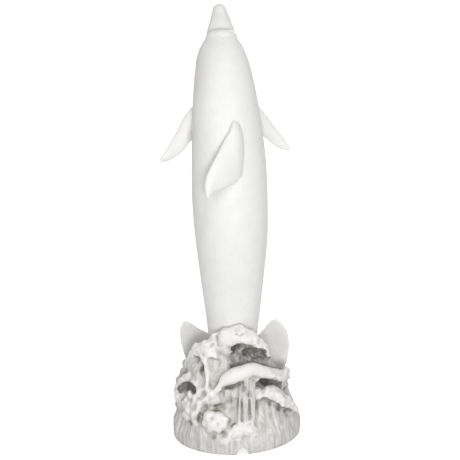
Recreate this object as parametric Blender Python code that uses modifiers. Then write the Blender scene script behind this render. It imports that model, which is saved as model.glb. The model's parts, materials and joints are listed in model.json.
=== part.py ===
"""Dolphin spitter: a leaping dolphin on breaking waves, cast hollow in one piece, with its water tube.

Metres, +Z up. The origin is the middle of the base's underside. The dolphin's back faces -Y and its
belly +Y, so the water leaves the beak upwards and towards +Y.
"""

import math

import bmesh
import bpy
import numpy as np
from mathutils import Matrix, Vector

# The height of the statue. The tables of places below are given for a statue one metre high.
HEIGHT = 1.0


def sized(rows, ratios=()):
    """The table at the statue's own height. The columns in ratios aren't lengths."""
    rows = np.array(rows, float)
    factors = np.full(rows.shape[-1], HEIGHT)
    factors[list(ratios)] = 1.0
    return rows * factors


# The casting
WALL = 0.009
BASE_RADIUS = 0.149 * HEIGHT
FRONT_STRETCH = 1.04
DOLPHIN_FACES = 3000
WAVE_FACES = 7000
GRAIN = 0.0025 * HEIGHT
FILLET_ROUNDS = 7
SOFTEN_ROUNDS = 1
RING_SIDES = 40
CUTTER_SIDES = 20
CORE_STEPS = 64
CAVITY_STEPS = 32
OVERCUT = 0.01

# The dolphin's body, root to forehead: x, y, z, half width, half depth to the back, to the belly
BODY = sized([
    (0.000, 0.030, 0.105, 0.050, 0.040, 0.040),
    (0.000, 0.010, 0.170, 0.054, 0.046, 0.046),
    (0.000, 0.001, 0.245, 0.0580, 0.052, 0.052),
    (0.002, -0.008, 0.310, 0.0650, 0.059, 0.059),
    (0.004, -0.019, 0.395, 0.0745, 0.069, 0.068),
    (0.006, -0.026, 0.480, 0.0830, 0.079, 0.078),
    (0.006, -0.029, 0.565, 0.0862, 0.085, 0.085),
    (0.007, -0.025, 0.650, 0.0847, 0.085, 0.087),
    (0.006, -0.016, 0.730, 0.0788, 0.080, 0.083),
    (0.004, -0.003, 0.800, 0.0714, 0.071, 0.074),
    (0.002, 0.014, 0.860, 0.0620, 0.060, 0.062),
    (0.001, 0.025, 0.890, 0.0545, 0.050, 0.053),
    (0.002, 0.032, 0.908, 0.0470, 0.042, 0.046),
    (0.002, 0.037, 0.924, 0.0370, 0.033, 0.038),
])
FOREHEAD_ROUND = 0.022 * HEIGHT

# The beak, inside the head to its tip: x, y, z, half width, half thickness above, below
BEAK = sized([
    (0.001, 0.040, 0.880, 0.036, 0.024, 0.030),
    (0.001, 0.056, 0.922, 0.0340, 0.022, 0.026),
    (0.001, 0.065, 0.944, 0.0300, 0.020, 0.022),
    (0.001, 0.074, 0.965, 0.0228, 0.017, 0.017),
    (0.000, 0.080, 0.983, 0.0165, 0.013, 0.013),
])
BEAK_ROUND = 0.0175 * HEIGHT

# Blades: leading edge and trailing edge, root to tip, as x, y, z
BLADE_SIDES = 24
BLADE_EDGE = 0.0022 * HEIGHT
FIN_LEAD = sized([
    (0.016, -0.050, 0.757),
    (0.022, -0.098, 0.752),
    (-0.002, -0.117, 0.716),
    (-0.018, -0.132, 0.689),
    (-0.035, -0.143, 0.661),
    (-0.046, -0.149, 0.638),
    (-0.049, -0.152, 0.619),
    (-0.046, -0.153, 0.598),
])
FIN_TRAIL = sized([
    (0.022, -0.060, 0.644),
    (0.032, -0.110, 0.634),
    (0.017, -0.122, 0.619),
    (0.000, -0.132, 0.613),
    (-0.015, -0.140, 0.609),
    (-0.027, -0.147, 0.604),
    (-0.035, -0.151, 0.597),
    (-0.040, -0.153, 0.590),
])
FIN_THICK = sized([0.036, 0.026, 0.018, 0.013])
LEFT_LEAD = sized([
    (-0.036, 0.008, 0.800),
    (-0.072, 0.012, 0.775),
    (-0.090, 0.014, 0.754),
    (-0.110, 0.017, 0.720),
    (-0.134, 0.020, 0.682),
    (-0.152, 0.022, 0.657),
])
LEFT_TRAIL = sized([
    (-0.040, 0.016, 0.700),
    (-0.076, 0.018, 0.696),
    (-0.091, 0.020, 0.677),
    (-0.111, 0.022, 0.660),
    (-0.134, 0.022, 0.650),
    (-0.149, 0.022, 0.648),
])
RIGHT_LEAD = sized([
    (0.048, 0.034, 0.804),
    (0.076, 0.040, 0.774),
    (0.093, 0.044, 0.752),
    (0.115, 0.050, 0.720),
    (0.138, 0.056, 0.689),
    (0.151, 0.060, 0.667),
])
RIGHT_TRAIL = sized([
    (0.045, 0.040, 0.707),
    (0.086, 0.046, 0.697),
    (0.099, 0.050, 0.684),
    (0.115, 0.054, 0.670),
    (0.134, 0.058, 0.660),
    (0.149, 0.060, 0.657),
])
FLIPPER_THICK = sized([0.024, 0.018, 0.013, 0.009])
LEFT_FLUKE_LEAD = sized([
    (0.010, 0.058, 0.100),
    (-0.060, 0.062, 0.112),
    (-0.100, 0.056, 0.135),
    (-0.115, 0.048, 0.166),
    (-0.122, 0.041, 0.195),
    (-0.126, 0.033, 0.225),
    (-0.124, 0.026, 0.250),
    (-0.117, 0.020, 0.268),
])
LEFT_FLUKE_TRAIL = sized([
    (0.010, 0.074, 0.190),
    (-0.025, 0.072, 0.208),
    (-0.044, 0.062, 0.220),
    (-0.058, 0.052, 0.231),
    (-0.074, 0.042, 0.243),
    (-0.089, 0.031, 0.257),
    (-0.101, 0.023, 0.268),
    (-0.110, 0.019, 0.272),
])
RIGHT_FLUKE_LEAD = sized([
    (-0.010, 0.058, 0.100),
    (0.062, 0.062, 0.104),
    (0.104, 0.056, 0.118),
    (0.123, 0.048, 0.141),
    (0.132, 0.042, 0.176),
    (0.133, 0.034, 0.208),
    (0.127, 0.026, 0.238),
    (0.112, 0.019, 0.262),
])
RIGHT_FLUKE_TRAIL = sized([
    (-0.010, 0.074, 0.190),
    (0.024, 0.072, 0.202),
    (0.044, 0.062, 0.212),
    (0.062, 0.052, 0.224),
    (0.073, 0.043, 0.239),
    (0.083, 0.032, 0.254),
    (0.092, 0.023, 0.264),
    (0.103, 0.018, 0.267),
])
FLUKE_THICK = sized([0.030, 0.014, 0.009, 0.008])

# The base inside the waves, rim to top: how much wider than the base's radius, then the height
CORE = sized([
    (0.000, 0.000),
    (0.002, 0.010),
    (0.002, 0.030),
    (-0.006, 0.052),
    (-0.017, 0.080),
    (-0.030, 0.110),
    (-0.044, 0.140),
    (-0.062, 0.170),
    (-0.082, 0.195),
    (-0.105, 0.212),
    (-0.125, 0.220),
])
CORE += (BASE_RADIUS, 0.0)
CORE_CROWN = 0.002
CAVITY_TOP = 0.165 * HEIGHT
CAVITY_CROWN = 0.004
CAVITY_FLAT = 0.03

HOLLOW = 4
# Breaking waves, from one end of the crest to the other: x, y, z, drop of the lip, hollow, foam radius
WAVES = {
    "top": [
        (-0.055, -0.062, 0.247, 0.012, 0.2, 0.005),
        (-0.046, -0.068, 0.258, 0.018, 0.4, 0.007),
        (-0.030, -0.078, 0.270, 0.028, 0.6, 0.009),
        (-0.010, -0.083, 0.276, 0.034, 0.9, 0.009),
        (0.012, -0.082, 0.278, 0.034, 1.0, 0.008),
        (0.034, -0.077, 0.268, 0.030, 1.0, 0.008),
        (0.057, -0.067, 0.249, 0.024, 1.0, 0.007),
        (0.075, -0.057, 0.224, 0.018, 0.8, 0.006),
        (0.085, -0.050, 0.200, 0.010, 0.4, 0.004),
    ],
    "upper_left": [
        (-0.105, -0.030, 0.200, 0.010, 0.3, 0.004),
        (-0.094, -0.042, 0.220, 0.018, 0.7, 0.006),
        (-0.080, -0.056, 0.237, 0.026, 0.8, 0.007),
        (-0.064, -0.068, 0.243, 0.034, 0.6, 0.008),
        (-0.050, -0.078, 0.236, 0.026, 0.3, 0.006),
        (-0.041, -0.084, 0.222, 0.012, 0.1, 0.004),
    ],
    "middle": [
        (-0.048, -0.118, 0.134, 0.006, 0.3, 0.003),
        (-0.036, -0.120, 0.154, 0.012, 0.7, 0.003),
        (-0.020, -0.119, 0.170, 0.016, 0.7, 0.003),
        (0.000, -0.117, 0.182, 0.018, 0.3, 0.003),
        (0.022, -0.112, 0.190, 0.020, 0.1, 0.003),
        (0.048, -0.103, 0.192, 0.022, 0.3, 0.004),
        (0.070, -0.095, 0.184, 0.022, 0.9, 0.005),
        (0.094, -0.080, 0.166, 0.018, 1.0, 0.005),
        (0.112, -0.058, 0.154, 0.012, 0.8, 0.004),
    ],
    "lower_right": [
        (0.060, -0.108, 0.130, 0.008, 0.2, 0.004),
        (0.072, -0.106, 0.136, 0.014, 0.4, 0.005),
        (0.084, -0.104, 0.134, 0.018, 0.6, 0.007),
        (0.096, -0.102, 0.125, 0.022, 0.7, 0.008),
        (0.116, -0.086, 0.106, 0.022, 0.6, 0.008),
        (0.132, -0.064, 0.086, 0.018, 0.6, 0.007),
        (0.139, -0.050, 0.066, 0.010, 0.4, 0.006),
    ],
    "left_hood": [
        (-0.084, -0.078, 0.166, 0.010, 0.6, 0.003),
        (-0.100, -0.065, 0.172, 0.016, 1.0, 0.004),
        (-0.117, -0.052, 0.162, 0.018, 1.0, 0.004),
        (-0.131, -0.038, 0.144, 0.016, 1.0, 0.004),
        (-0.138, -0.030, 0.122, 0.014, 0.8, 0.004),
        (-0.138, -0.038, 0.102, 0.008, 0.4, 0.004),
    ],
    "right_curl": [
        (0.108, -0.066, 0.150, 0.006, 0.3, 0.004),
        (0.118, -0.044, 0.158, 0.012, 0.7, 0.005),
        (0.123, -0.018, 0.158, 0.014, 0.8, 0.005),
        (0.120, 0.012, 0.150, 0.014, 0.6, 0.005),
        (0.112, 0.040, 0.136, 0.008, 0.3, 0.004),
    ],
    "left_side": [
        (-0.126, -0.034, 0.088, 0.008, 0.4, 0.005),
        (-0.120, 0.000, 0.098, 0.016, 0.8, 0.007),
        (-0.112, 0.038, 0.106, 0.020, 0.8, 0.008),
        (-0.096, 0.074, 0.098, 0.014, 0.4, 0.006),
    ],
    "front_top": [
        (-0.096, 0.058, 0.146, 0.010, 0.4, 0.005),
        (-0.068, 0.084, 0.166, 0.024, 0.8, 0.008),
        (-0.024, 0.100, 0.178, 0.030, 1.0, 0.009),
        (0.022, 0.100, 0.172, 0.028, 1.0, 0.009),
        (0.062, 0.088, 0.148, 0.018, 0.8, 0.007),
        (0.088, 0.070, 0.126, 0.010, 0.4, 0.005),
    ],
    "front_right": [
        (0.126, -0.004, 0.084, 0.010, 0.4, 0.005),
        (0.116, 0.046, 0.104, 0.020, 0.8, 0.007),
        (0.098, 0.084, 0.112, 0.026, 0.9, 0.009),
        (0.070, 0.114, 0.104, 0.024, 0.9, 0.008),
        (0.036, 0.130, 0.084, 0.012, 0.4, 0.005),
    ],
    "front_left": [
        (-0.122, 0.074, 0.066, 0.008, 0.4, 0.005),
        (-0.092, 0.104, 0.088, 0.022, 0.8, 0.008),
        (-0.052, 0.126, 0.096, 0.026, 0.9, 0.009),
        (-0.010, 0.136, 0.082, 0.016, 0.6, 0.007),
        (0.010, 0.140, 0.066, 0.008, 0.3, 0.005),
    ],
    "bottom": [
        (-0.028, -0.144, 0.038, 0.008, 0.4, 0.005),
        (-0.016, -0.146, 0.058, 0.018, 0.7, 0.006),
        (0.006, -0.147, 0.070, 0.024, 0.7, 0.006),
        (0.028, -0.146, 0.068, 0.022, 0.7, 0.006),
        (0.044, -0.142, 0.054, 0.010, 0.4, 0.005),
    ],
    "front_low": [
        (0.020, 0.146, 0.044, 0.006, 0.3, 0.005),
        (0.056, 0.136, 0.060, 0.016, 0.6, 0.007),
        (0.094, 0.112, 0.064, 0.018, 0.6, 0.007),
        (0.124, 0.080, 0.052, 0.010, 0.3, 0.005),
    ],
}
# A wave's section as shares of its drop, outwards and upwards: back and lip, then the face below
WAVE_BACK = [
    (-1.60, -2.60),
    (-1.25, -1.10),
    (-0.80, -0.28),
    (-0.35, 0.02),
    (0.02, 0.06),
    (0.27, -0.12),
    (0.38, -0.45),
    (0.34, -0.82),
    (0.20, -1.00),
]
# The same, with a third number: how far the hollow pulls that point back
WAVE_FACE = [
    (0.16, -0.96, 0.16),
    (0.18, -0.74, 0.38),
    (0.20, -0.86, 0.68),
    (0.20, -1.20, 0.86),
    (0.20, -1.75, 0.70),
    (0.22, -2.35, 0.36),
    (0.25, -3.20, 0.00),
]

# Rounded rolls of water, along their middles: x, y, z, radius
ROLLS = {
    "middle_tongue": [
        (-0.045, -0.122, 0.148, 0.0036),
        (-0.035, -0.120, 0.156, 0.0072),
        (-0.024, -0.116, 0.165, 0.0139),
        (-0.010, -0.113, 0.171, 0.0189),
        (0.007, -0.112, 0.177, 0.0189),
        (0.023, -0.108, 0.182, 0.0171),
        (0.039, -0.101, 0.184, 0.0166),
        (0.055, -0.094, 0.178, 0.0162),
        (0.070, -0.087, 0.171, 0.0153),
        (0.086, -0.074, 0.163, 0.0139),
        (0.100, -0.057, 0.156, 0.0121),
        (0.113, -0.038, 0.149, 0.0081),
    ],
    "valley": [
        (-0.048, -0.069, 0.201, 0.0135),
        (-0.044, -0.073, 0.182, 0.0180),
        (-0.044, -0.083, 0.167, 0.0189),
        (-0.046, -0.096, 0.152, 0.0158),
    ],
    "valley_right": [
        (-0.023, -0.073, 0.206, 0.0135),
        (-0.021, -0.075, 0.187, 0.0180),
        (-0.024, -0.085, 0.171, 0.0180),
        (-0.030, -0.102, 0.153, 0.0158),
    ],
    "column_back": [
        (0.035, -0.101, 0.160, 0.0139),
        (0.031, -0.109, 0.139, 0.0149),
        (0.028, -0.117, 0.117, 0.0149),
        (0.027, -0.123, 0.096, 0.0144),
        (0.025, -0.131, 0.067, 0.0130),
    ],
    "right_curl": [
        (0.109, -0.047, 0.160, 0.0032),
        (0.119, -0.022, 0.154, 0.0034),
        (0.126, -0.007, 0.141, 0.0034),
        (0.124, -0.032, 0.139, 0.0034),
        (0.114, -0.058, 0.142, 0.0034),
        (0.099, -0.078, 0.147, 0.0034),
        (0.087, -0.091, 0.151, 0.0022),
    ],
    "right_lobe": [
        (0.066, -0.103, 0.135, 0.0090),
        (0.077, -0.096, 0.133, 0.0126),
        (0.091, -0.087, 0.125, 0.0130),
        (0.105, -0.080, 0.111, 0.0108),
        (0.118, -0.068, 0.094, 0.0095),
        (0.131, -0.049, 0.074, 0.0086),
        (0.141, -0.030, 0.054, 0.0063),
        (0.143, -0.023, 0.041, 0.0036),
    ],
    "left_ridge": [
        (-0.066, -0.077, 0.197, 0.0076),
        (-0.063, -0.087, 0.186, 0.0059),
        (-0.061, -0.096, 0.172, 0.0049),
        (-0.062, -0.103, 0.157, 0.0049),
        (-0.065, -0.107, 0.145, 0.0059),
    ],
    "left_arch": [
        (-0.144, 0.060, 0.067, 0.0054),
        (-0.144, 0.060, 0.085, 0.0054),
        (-0.139, 0.060, 0.101, 0.0059),
        (-0.125, -0.027, 0.141, 0.0072),
        (-0.109, -0.055, 0.158, 0.0086),
        (-0.094, -0.073, 0.161, 0.0081),
        (-0.080, -0.091, 0.156, 0.0063),
        (-0.069, -0.105, 0.148, 0.0049),
    ],
    "left_shoulder": [
        (-0.122, 0.060, 0.122, 0.0090),
        (-0.108, -0.012, 0.159, 0.0149),
        (-0.091, -0.036, 0.175, 0.0158),
        (-0.078, -0.056, 0.183, 0.0112),
    ],
    "left_under": [
        (-0.142, 0.060, 0.054, 0.0067),
        (-0.118, -0.061, 0.089, 0.0090),
        (-0.094, -0.090, 0.099, 0.0099),
        (-0.070, -0.107, 0.109, 0.0090),
        (-0.052, -0.115, 0.116, 0.0099),
        (-0.033, -0.119, 0.121, 0.0099),
    ],
    "column_1": [
        (0.032, -0.115, 0.164, 0.0049),
        (0.028, -0.125, 0.144, 0.0049),
        (0.026, -0.133, 0.123, 0.0047),
        (0.024, -0.139, 0.102, 0.0045),
        (0.023, -0.144, 0.075, 0.0040),
    ],
    "column_2": [
        (0.017, -0.117, 0.161, 0.0054),
        (0.013, -0.126, 0.141, 0.0054),
        (0.010, -0.133, 0.119, 0.0049),
        (0.008, -0.139, 0.097, 0.0045),
        (0.007, -0.143, 0.077, 0.0036),
    ],
    "column_3": [
        (0.045, -0.110, 0.159, 0.0045),
        (0.043, -0.119, 0.139, 0.0040),
        (0.042, -0.128, 0.121, 0.0040),
        (0.040, -0.133, 0.099, 0.0038),
        (0.039, -0.140, 0.070, 0.0034),
    ],
    "column_4": [
        (0.051, -0.107, 0.156, 0.0049),
        (0.053, -0.111, 0.138, 0.0049),
        (0.051, -0.121, 0.118, 0.0045),
    ],
}

# Lumps of foam: x, y, z, radius
LUMPS = sized([
    (-0.014, -0.071, 0.256, 0.0225),
    (-0.025, -0.077, 0.250, 0.0139),
    (-0.004, -0.086, 0.247, 0.0108),
    (0.005, -0.075, 0.268, 0.0139),
    (0.016, -0.071, 0.275, 0.0108),
    (0.027, -0.072, 0.270, 0.0095),
    (0.012, -0.083, 0.253, 0.0112),
    (0.023, -0.082, 0.257, 0.0099),
    (0.027, -0.084, 0.250, 0.0067),
    (0.036, -0.072, 0.260, 0.0108),
    (0.047, -0.069, 0.255, 0.0103),
    (0.038, -0.081, 0.250, 0.0076),
    (0.055, -0.070, 0.244, 0.0090),
    (0.062, -0.070, 0.233, 0.0081),
    (0.069, -0.070, 0.222, 0.0076),
    (0.075, -0.067, 0.212, 0.0067),
    (0.080, -0.067, 0.203, 0.0045),
    (-0.042, -0.067, 0.257, 0.0081),
    (-0.035, -0.081, 0.241, 0.0081),
    (-0.021, -0.091, 0.241, 0.0067),
    (-0.041, -0.073, 0.229, 0.0090),
    (-0.032, -0.080, 0.234, 0.0076),
    (0.066, -0.064, 0.240, 0.0054),
    (0.074, -0.062, 0.227, 0.0054),
    (0.080, -0.060, 0.214, 0.0045),
    (0.050, -0.082, 0.241, 0.0049),
    (0.058, -0.083, 0.229, 0.0045),
    (0.044, -0.069, 0.265, 0.0054),
    (-0.027, -0.081, 0.224, 0.0081),
    (-0.015, -0.083, 0.228, 0.0076),
    (-0.005, -0.085, 0.227, 0.0067),
    (-0.080, -0.042, 0.221, 0.0117),
    (-0.065, -0.059, 0.229, 0.0130),
    (-0.069, -0.066, 0.215, 0.0126),
    (-0.068, -0.076, 0.204, 0.0086),
    (-0.054, -0.067, 0.236, 0.0095),
    (-0.092, -0.028, 0.214, 0.0067),
    (-0.050, -0.077, 0.227, 0.0072),
    (-0.059, -0.077, 0.218, 0.0081),
    (-0.130, -0.039, 0.106, 0.0095),
    (-0.103, -0.083, 0.125, 0.0099),
    (-0.083, -0.100, 0.138, 0.0081),
    (-0.093, -0.099, 0.124, 0.0067),
    (-0.073, -0.108, 0.145, 0.0054),
    (-0.054, -0.116, 0.135, 0.0126),
    (-0.044, -0.123, 0.147, 0.0054),
    (-0.116, -0.075, 0.109, 0.0063),
    (-0.122, -0.066, 0.101, 0.0045),
    (-0.065, -0.116, 0.126, 0.0063),
    (-0.108, -0.087, 0.105, 0.0059),
    (-0.095, -0.099, 0.114, 0.0054),
    (-0.084, -0.109, 0.112, 0.0059),
    (-0.074, -0.115, 0.121, 0.0045),
    (-0.115, -0.081, 0.096, 0.0049),
    (-0.105, -0.087, 0.088, 0.0139),
    (-0.093, -0.104, 0.081, 0.0135),
    (-0.109, -0.089, 0.069, 0.0108),
    (-0.086, -0.109, 0.098, 0.0081),
    (-0.116, -0.079, 0.076, 0.0090),
    (-0.095, -0.107, 0.066, 0.0081),
    (-0.059, -0.123, 0.085, 0.0175),
    (-0.041, -0.132, 0.082, 0.0171),
    (-0.053, -0.134, 0.070, 0.0180),
    (-0.032, -0.141, 0.070, 0.0130),
    (-0.069, -0.126, 0.070, 0.0112),
    (-0.042, -0.144, 0.061, 0.0099),
    (-0.062, -0.137, 0.058, 0.0081),
    (-0.024, -0.141, 0.082, 0.0076),
    (-0.001, -0.144, 0.060, 0.0126),
    (0.015, -0.145, 0.063, 0.0112),
    (0.030, -0.145, 0.059, 0.0076),
    (0.041, -0.143, 0.057, 0.0045),
    (-0.010, -0.143, 0.048, 0.0108),
    (0.003, -0.144, 0.046, 0.0112),
    (0.018, -0.147, 0.051, 0.0067),
    (0.119, -0.025, 0.145, 0.0067),
    (0.057, -0.119, 0.125, 0.0045),
    (0.067, -0.115, 0.125, 0.0045),
    (0.078, -0.113, 0.118, 0.0045),
    (0.092, -0.104, 0.109, 0.0049),
    (0.105, -0.094, 0.098, 0.0054),
    (0.120, -0.067, 0.097, 0.0072),
    (0.124, -0.073, 0.082, 0.0059),
    (0.136, -0.046, 0.072, 0.0063),
    (0.141, -0.039, 0.056, 0.0049),
    (0.130, -0.068, 0.067, 0.0045),
    (0.097, -0.095, 0.116, 0.0076),
    (0.085, -0.095, 0.133, 0.0103),
])
FOAM_PITCH = 1.5
FOAM_ROWS = [(0.00, -0.10), (0.22, -0.40), (0.20, -0.80)]
FOAM_SPREAD = 0.4
FOAM_SEED = 7

# Ribs in the falling water, as bearing from the back in degrees and height: from, to, low, high, pitch, depth
RIBS = [
    (-6.0, 20.0, 0.072, 0.172, 0.0150, 0.0035),
    (20.0, 78.0, 0.010, 0.105, 0.0150, 0.0030),
    (-75.0, -14.0, 0.010, 0.060, 0.0200, 0.0030),
    (-30.0, -6.0, 0.110, 0.190, 0.0180, 0.0030),
    (-12.0, 45.0, 0.195, 0.240, 0.0130, 0.0035),
    (80.0, 200.0, 0.008, 0.100, 0.0190, 0.0035),
    (200.0, 282.0, 0.008, 0.090, 0.0190, 0.0035),
    (130.0, 230.0, 0.100, 0.160, 0.0160, 0.0035),
]
# Grooves and ridges by hand: width, height over the surface, then bearing and height along it
STROKES = [
    (0.0050, -0.008, [(8, 0.162), (6, 0.125), (5, 0.078)]),
    (0.0050, -0.006, [(16, 0.168), (13, 0.123), (12, 0.080)]),
    (0.0050, -0.010, [(-13, 0.150), (-3, 0.153), (5, 0.160)]),
    (0.0060, -0.012, [(24, 0.146), (33, 0.152), (44, 0.148), (52, 0.138)]),
    (0.0050, -0.010, [(34, 0.108), (38, 0.098), (39, 0.088)]),
    (0.0050, -0.008, [(-38, 0.110), (-30, 0.113), (-22, 0.116)]),
    (0.0080, -0.014, [(-66, 0.122), (-58, 0.138), (-50, 0.146)]),
    (0.0040, -0.006, [(-48, 0.056), (-50, 0.018)]),
    (0.0050, -0.006, [(-10, 0.064), (-12, 0.025)]),
    (0.0040, 0.005, [(4, 0.238), (8, 0.220), (11, 0.205)]),
]
RIB_WANDER = 0.8
RIB_RADIUS = BASE_RADIUS / HEIGHT
RIB_FADE = (0.05, 0.012)

# Dark hollows under the foam: x, y, z, then half width, depth and height
PITS = sized([
    (0.041, -0.083, 0.215, 0.0382, 0.0320, 0.0139),
    (0.009, -0.092, 0.214, 0.0214, 0.0260, 0.0103),
    (0.063, -0.076, 0.203, 0.0158, 0.0280, 0.0095),
    (-0.011, -0.095, 0.207, 0.0112, 0.0180, 0.0067),
    (-0.105, -0.079, 0.143, 0.0203, 0.0240, 0.0090),
    (-0.121, -0.059, 0.130, 0.0112, 0.0180, 0.0081),
    (-0.005, -0.130, 0.153, 0.0191, 0.0100, 0.0029),
    (0.071, -0.107, 0.152, 0.0135, 0.0160, 0.0045),
    (0.056, -0.113, 0.152, 0.0081, 0.0120, 0.0081),
    (-0.072, -0.088, 0.179, 0.0072, 0.0140, 0.0180),
    (0.090, -0.111, 0.101, 0.0103, 0.0100, 0.0059),
    (-0.063, -0.125, 0.118, 0.0135, 0.0080, 0.0032),
    (0.141, -0.062, 0.049, 0.0067, 0.0120, 0.0036),
])

# Face details: eye, blowhole and mouth
EYE = sized([0.0520, 0.044, 0.868])
EYE_RADIUS = 0.0070 * HEIGHT
BROW = sized([-0.0465, 0.018, 0.874])
BROW_RADIUS = 0.0125 * HEIGHT

# The end of the beak, where the water leaves
TUBE_END = sized([
    (0.001, 0.052, 0.922),
    (0.001, 0.061, 0.944),
    (0.001, 0.073, 0.964),
    (0.000, 0.092, 0.984),
])
OUTLET_RADIUS = 0.0082
OUTLET_DEPTH = 0.007
BORE_OVERRUN = 0.02

# The way for the hose under the rim
NOTCH_WIDTH = 0.026
NOTCH_HEIGHT = 0.018
NOTCH_SIDE = 0.011
NOTCH_STEPS = 13
NOTCH_REACH = (1.3, 0.7)

# The water tube and its hose fitting
TUBE_RADIUS = 0.006
TUBE_WALL = 0.0012
TUBE_FOOT = 0.080 * HEIGHT
TUBE_STRAIGHT = 0.080 * HEIGHT
TUBE_POINTS = 30
CLEARANCE = 0.0003
BORE_START = 0.862 * HEIGHT
BARB_RADIUS = 0.0058
BARB_CORE = 0.0046
BARB_BORE = 0.0030
BARB_PITCH = 0.0055
BARB_COUNT = 4
BARB_SHOULDER = (0.2, 0.3)
COLLAR_RADIUS = 0.0095
COLLAR_HEIGHT = 0.006
SPIGOT_HEIGHT = 0.016
FITTING_STEPS = 24

MERGE = 0.00001
UP = np.array([0.0, 0.0, 1.0])
LEVEL = np.array([1.0, 1.0, 0.0])


def remove_everything():
    for item in list(bpy.data.objects):
        bpy.data.objects.remove(item)


def collection(name):
    made = bpy.data.collections.new(name)
    bpy.context.scene.collection.children.link(made)
    return made


def material(name, colour, roughness, metallic=0.0):
    made = bpy.data.materials.new(name)
    made.use_nodes = True
    surface = made.node_tree.nodes["Principled BSDF"]
    surface.inputs["Base Color"].default_value = (*colour, 1.0)
    surface.inputs["Roughness"].default_value = roughness
    surface.inputs["Metallic"].default_value = metallic
    return made


def through(rows, count):
    """Rows read off the smooth curve through the given ones, evenly along its length."""
    rows = np.array(rows, float)
    steps = np.linalg.norm(np.diff(rows[:, :3], axis=0), axis=1)
    reach = np.concatenate([[0.0], np.cumsum(steps)])
    slopes = np.gradient(rows, reach, axis=0)
    at = np.linspace(0.0, reach[-1], count)
    cell = np.clip(np.searchsorted(reach, at, side="right") - 1, 0, len(rows) - 2)
    span = (reach[cell + 1] - reach[cell])[:, None]
    t = (at - reach[cell])[:, None] / span
    start = (2 * t**3 - 3 * t**2 + 1) * rows[cell] + (t**3 - 2 * t**2 + t) * slopes[cell] * span
    end = (3 * t**2 - 2 * t**3) * rows[cell + 1] + (t**3 - t**2) * slopes[cell + 1] * span
    return start + end


def unit(vectors):
    return vectors / np.linalg.norm(vectors, axis=-1, keepdims=True)


def loft(name, rings, group):
    """A closed skin over rings of equally many points, with a flat face at each end."""
    sides = len(rings[0])
    faces = [tuple(range(sides))[::-1]]
    for ring in range(len(rings) - 1):
        low, high = ring * sides, (ring + 1) * sides
        for i in range(sides):
            j = (i + 1) % sides
            faces.append((low + i, low + j, high + j, high + i))
    last = (len(rings) - 1) * sides
    faces.append(tuple(range(last, last + sides)))
    mesh = bpy.data.meshes.new(name)
    mesh.from_pydata(np.concatenate(rings).tolist(), [], faces)
    shape = bmesh.new()
    shape.from_mesh(mesh)
    bmesh.ops.recalc_face_normals(shape, faces=shape.faces)
    shape.to_mesh(mesh)
    shape.free()
    made = bpy.data.objects.new(name, mesh)
    group.objects.link(made)
    return made


def trunk(name, rows, nose, group, inset=0.0, density=4, sides=RING_SIDES):
    """A body of oval sections square to its own axis, rounded off at its last row by nose."""
    rows = through(rows, density * len(rows))
    along = unit(np.gradient(rows[:, :3], axis=0))
    across = unit(np.array([1.0, 0.0, 0.0]) - along * along[:, :1])
    front = np.cross(along, across)
    turn = np.linspace(0.0, 2 * math.pi, sides, endpoint=False)
    rings = []

    def ring(i, shrink, lift):
        depth = np.where(np.sin(turn) > 0, rows[i, 5], rows[i, 4]) - inset
        wide = (rows[i, 3] - inset) * np.cos(turn)[:, None] * across[i]
        deep = (depth * np.sin(turn))[:, None] * front[i]
        return rows[i, :3] + along[i] * lift + (wide + deep) * shrink

    for i in range(len(rows)):
        rings.append(ring(i, 1.0, 0.0))
    for angle in np.linspace(0.0, math.pi / 2, 8)[1:]:
        shrink = max(math.cos(angle), 0.04)
        rings.append(ring(len(rows) - 1, shrink, (nose - inset) * math.sin(angle)))
    return loft(name, rings, group)


def blade(name, lead, trail, thick, group):
    """A fin between its leading and trailing edges, thickest near the front of its chord."""
    count = 4 * len(lead)
    lead = through(lead, count)
    trail = through(trail, count)
    chord = trail - lead
    span = np.gradient((lead + trail) / 2, axis=0)
    normal = unit(np.cross(chord, span))
    depth = np.interp(np.linspace(0, 1, count), np.linspace(0, 1, len(thick)), thick) / 2
    half = BLADE_SIDES // 2
    across = (1 - np.cos(np.linspace(0, math.pi, half + 1))) / 2
    swell = np.sin(np.pi * across**0.75) ** 0.6
    rim = BLADE_EDGE * np.sqrt(1 - np.abs(2 * across - 1) ** 8)
    rings = []
    for i in range(count):
        bulge = np.maximum(swell * depth[i], rim)[:, None] * normal[i]
        upper = lead[i] + across[:, None] * chord[i] + bulge
        lower = lead[i] + across[:, None] * chord[i] - bulge
        rings.append(np.concatenate([upper, lower[-2:0:-1]]))
    return loft(name, rings, group)


def wave(name, rows, group):
    """A breaker: its section, sized by the lip's drop, swept along the crest and facing outwards."""
    rows = through(rows, 6 * len(rows))
    back = np.array(WAVE_BACK)
    face = np.array(WAVE_FACE)
    rings = []
    for row, out in zip(rows, outwards(rows)):
        drop, hollow = row[3], np.clip(row[HOLLOW], 0.0, 1.0)
        below = np.column_stack([face[:, 0] - hollow * face[:, 2], face[:, 1]])
        section = np.concatenate([back, below]) * drop
        rings.append(row[:3] + section[:, :1] * out + section[:, 1:] * UP)
    return loft(name, rings, group)


def outwards(rows):
    """Level directions square to a crest, away from the middle of the base."""
    along = unit(np.gradient(rows[:, :3], axis=0) * LEVEL)
    side = np.stack([along[:, 1], -along[:, 0], np.zeros(len(along))], axis=1)
    return side * np.where((side * rows[:, :3]).sum(axis=1, keepdims=True) < 0, -1.0, 1.0)


def roll(name, rows, group):
    """A round, tapering roll of water along its middle line."""
    rows = through(rows, 4 * len(rows))
    along = unit(np.gradient(rows[:, :3], axis=0))
    side = unit(np.cross(along, UP))
    top = np.cross(side, along)
    turn = np.linspace(0.0, 2 * math.pi, 16, endpoint=False)[:, None]
    rings = []
    for i in range(len(rows)):
        rings.append(rows[i, :3] + rows[i, 3] * (np.cos(turn) * side[i] + np.sin(turn) * top[i]))
    return loft(name, rings, group)


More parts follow.
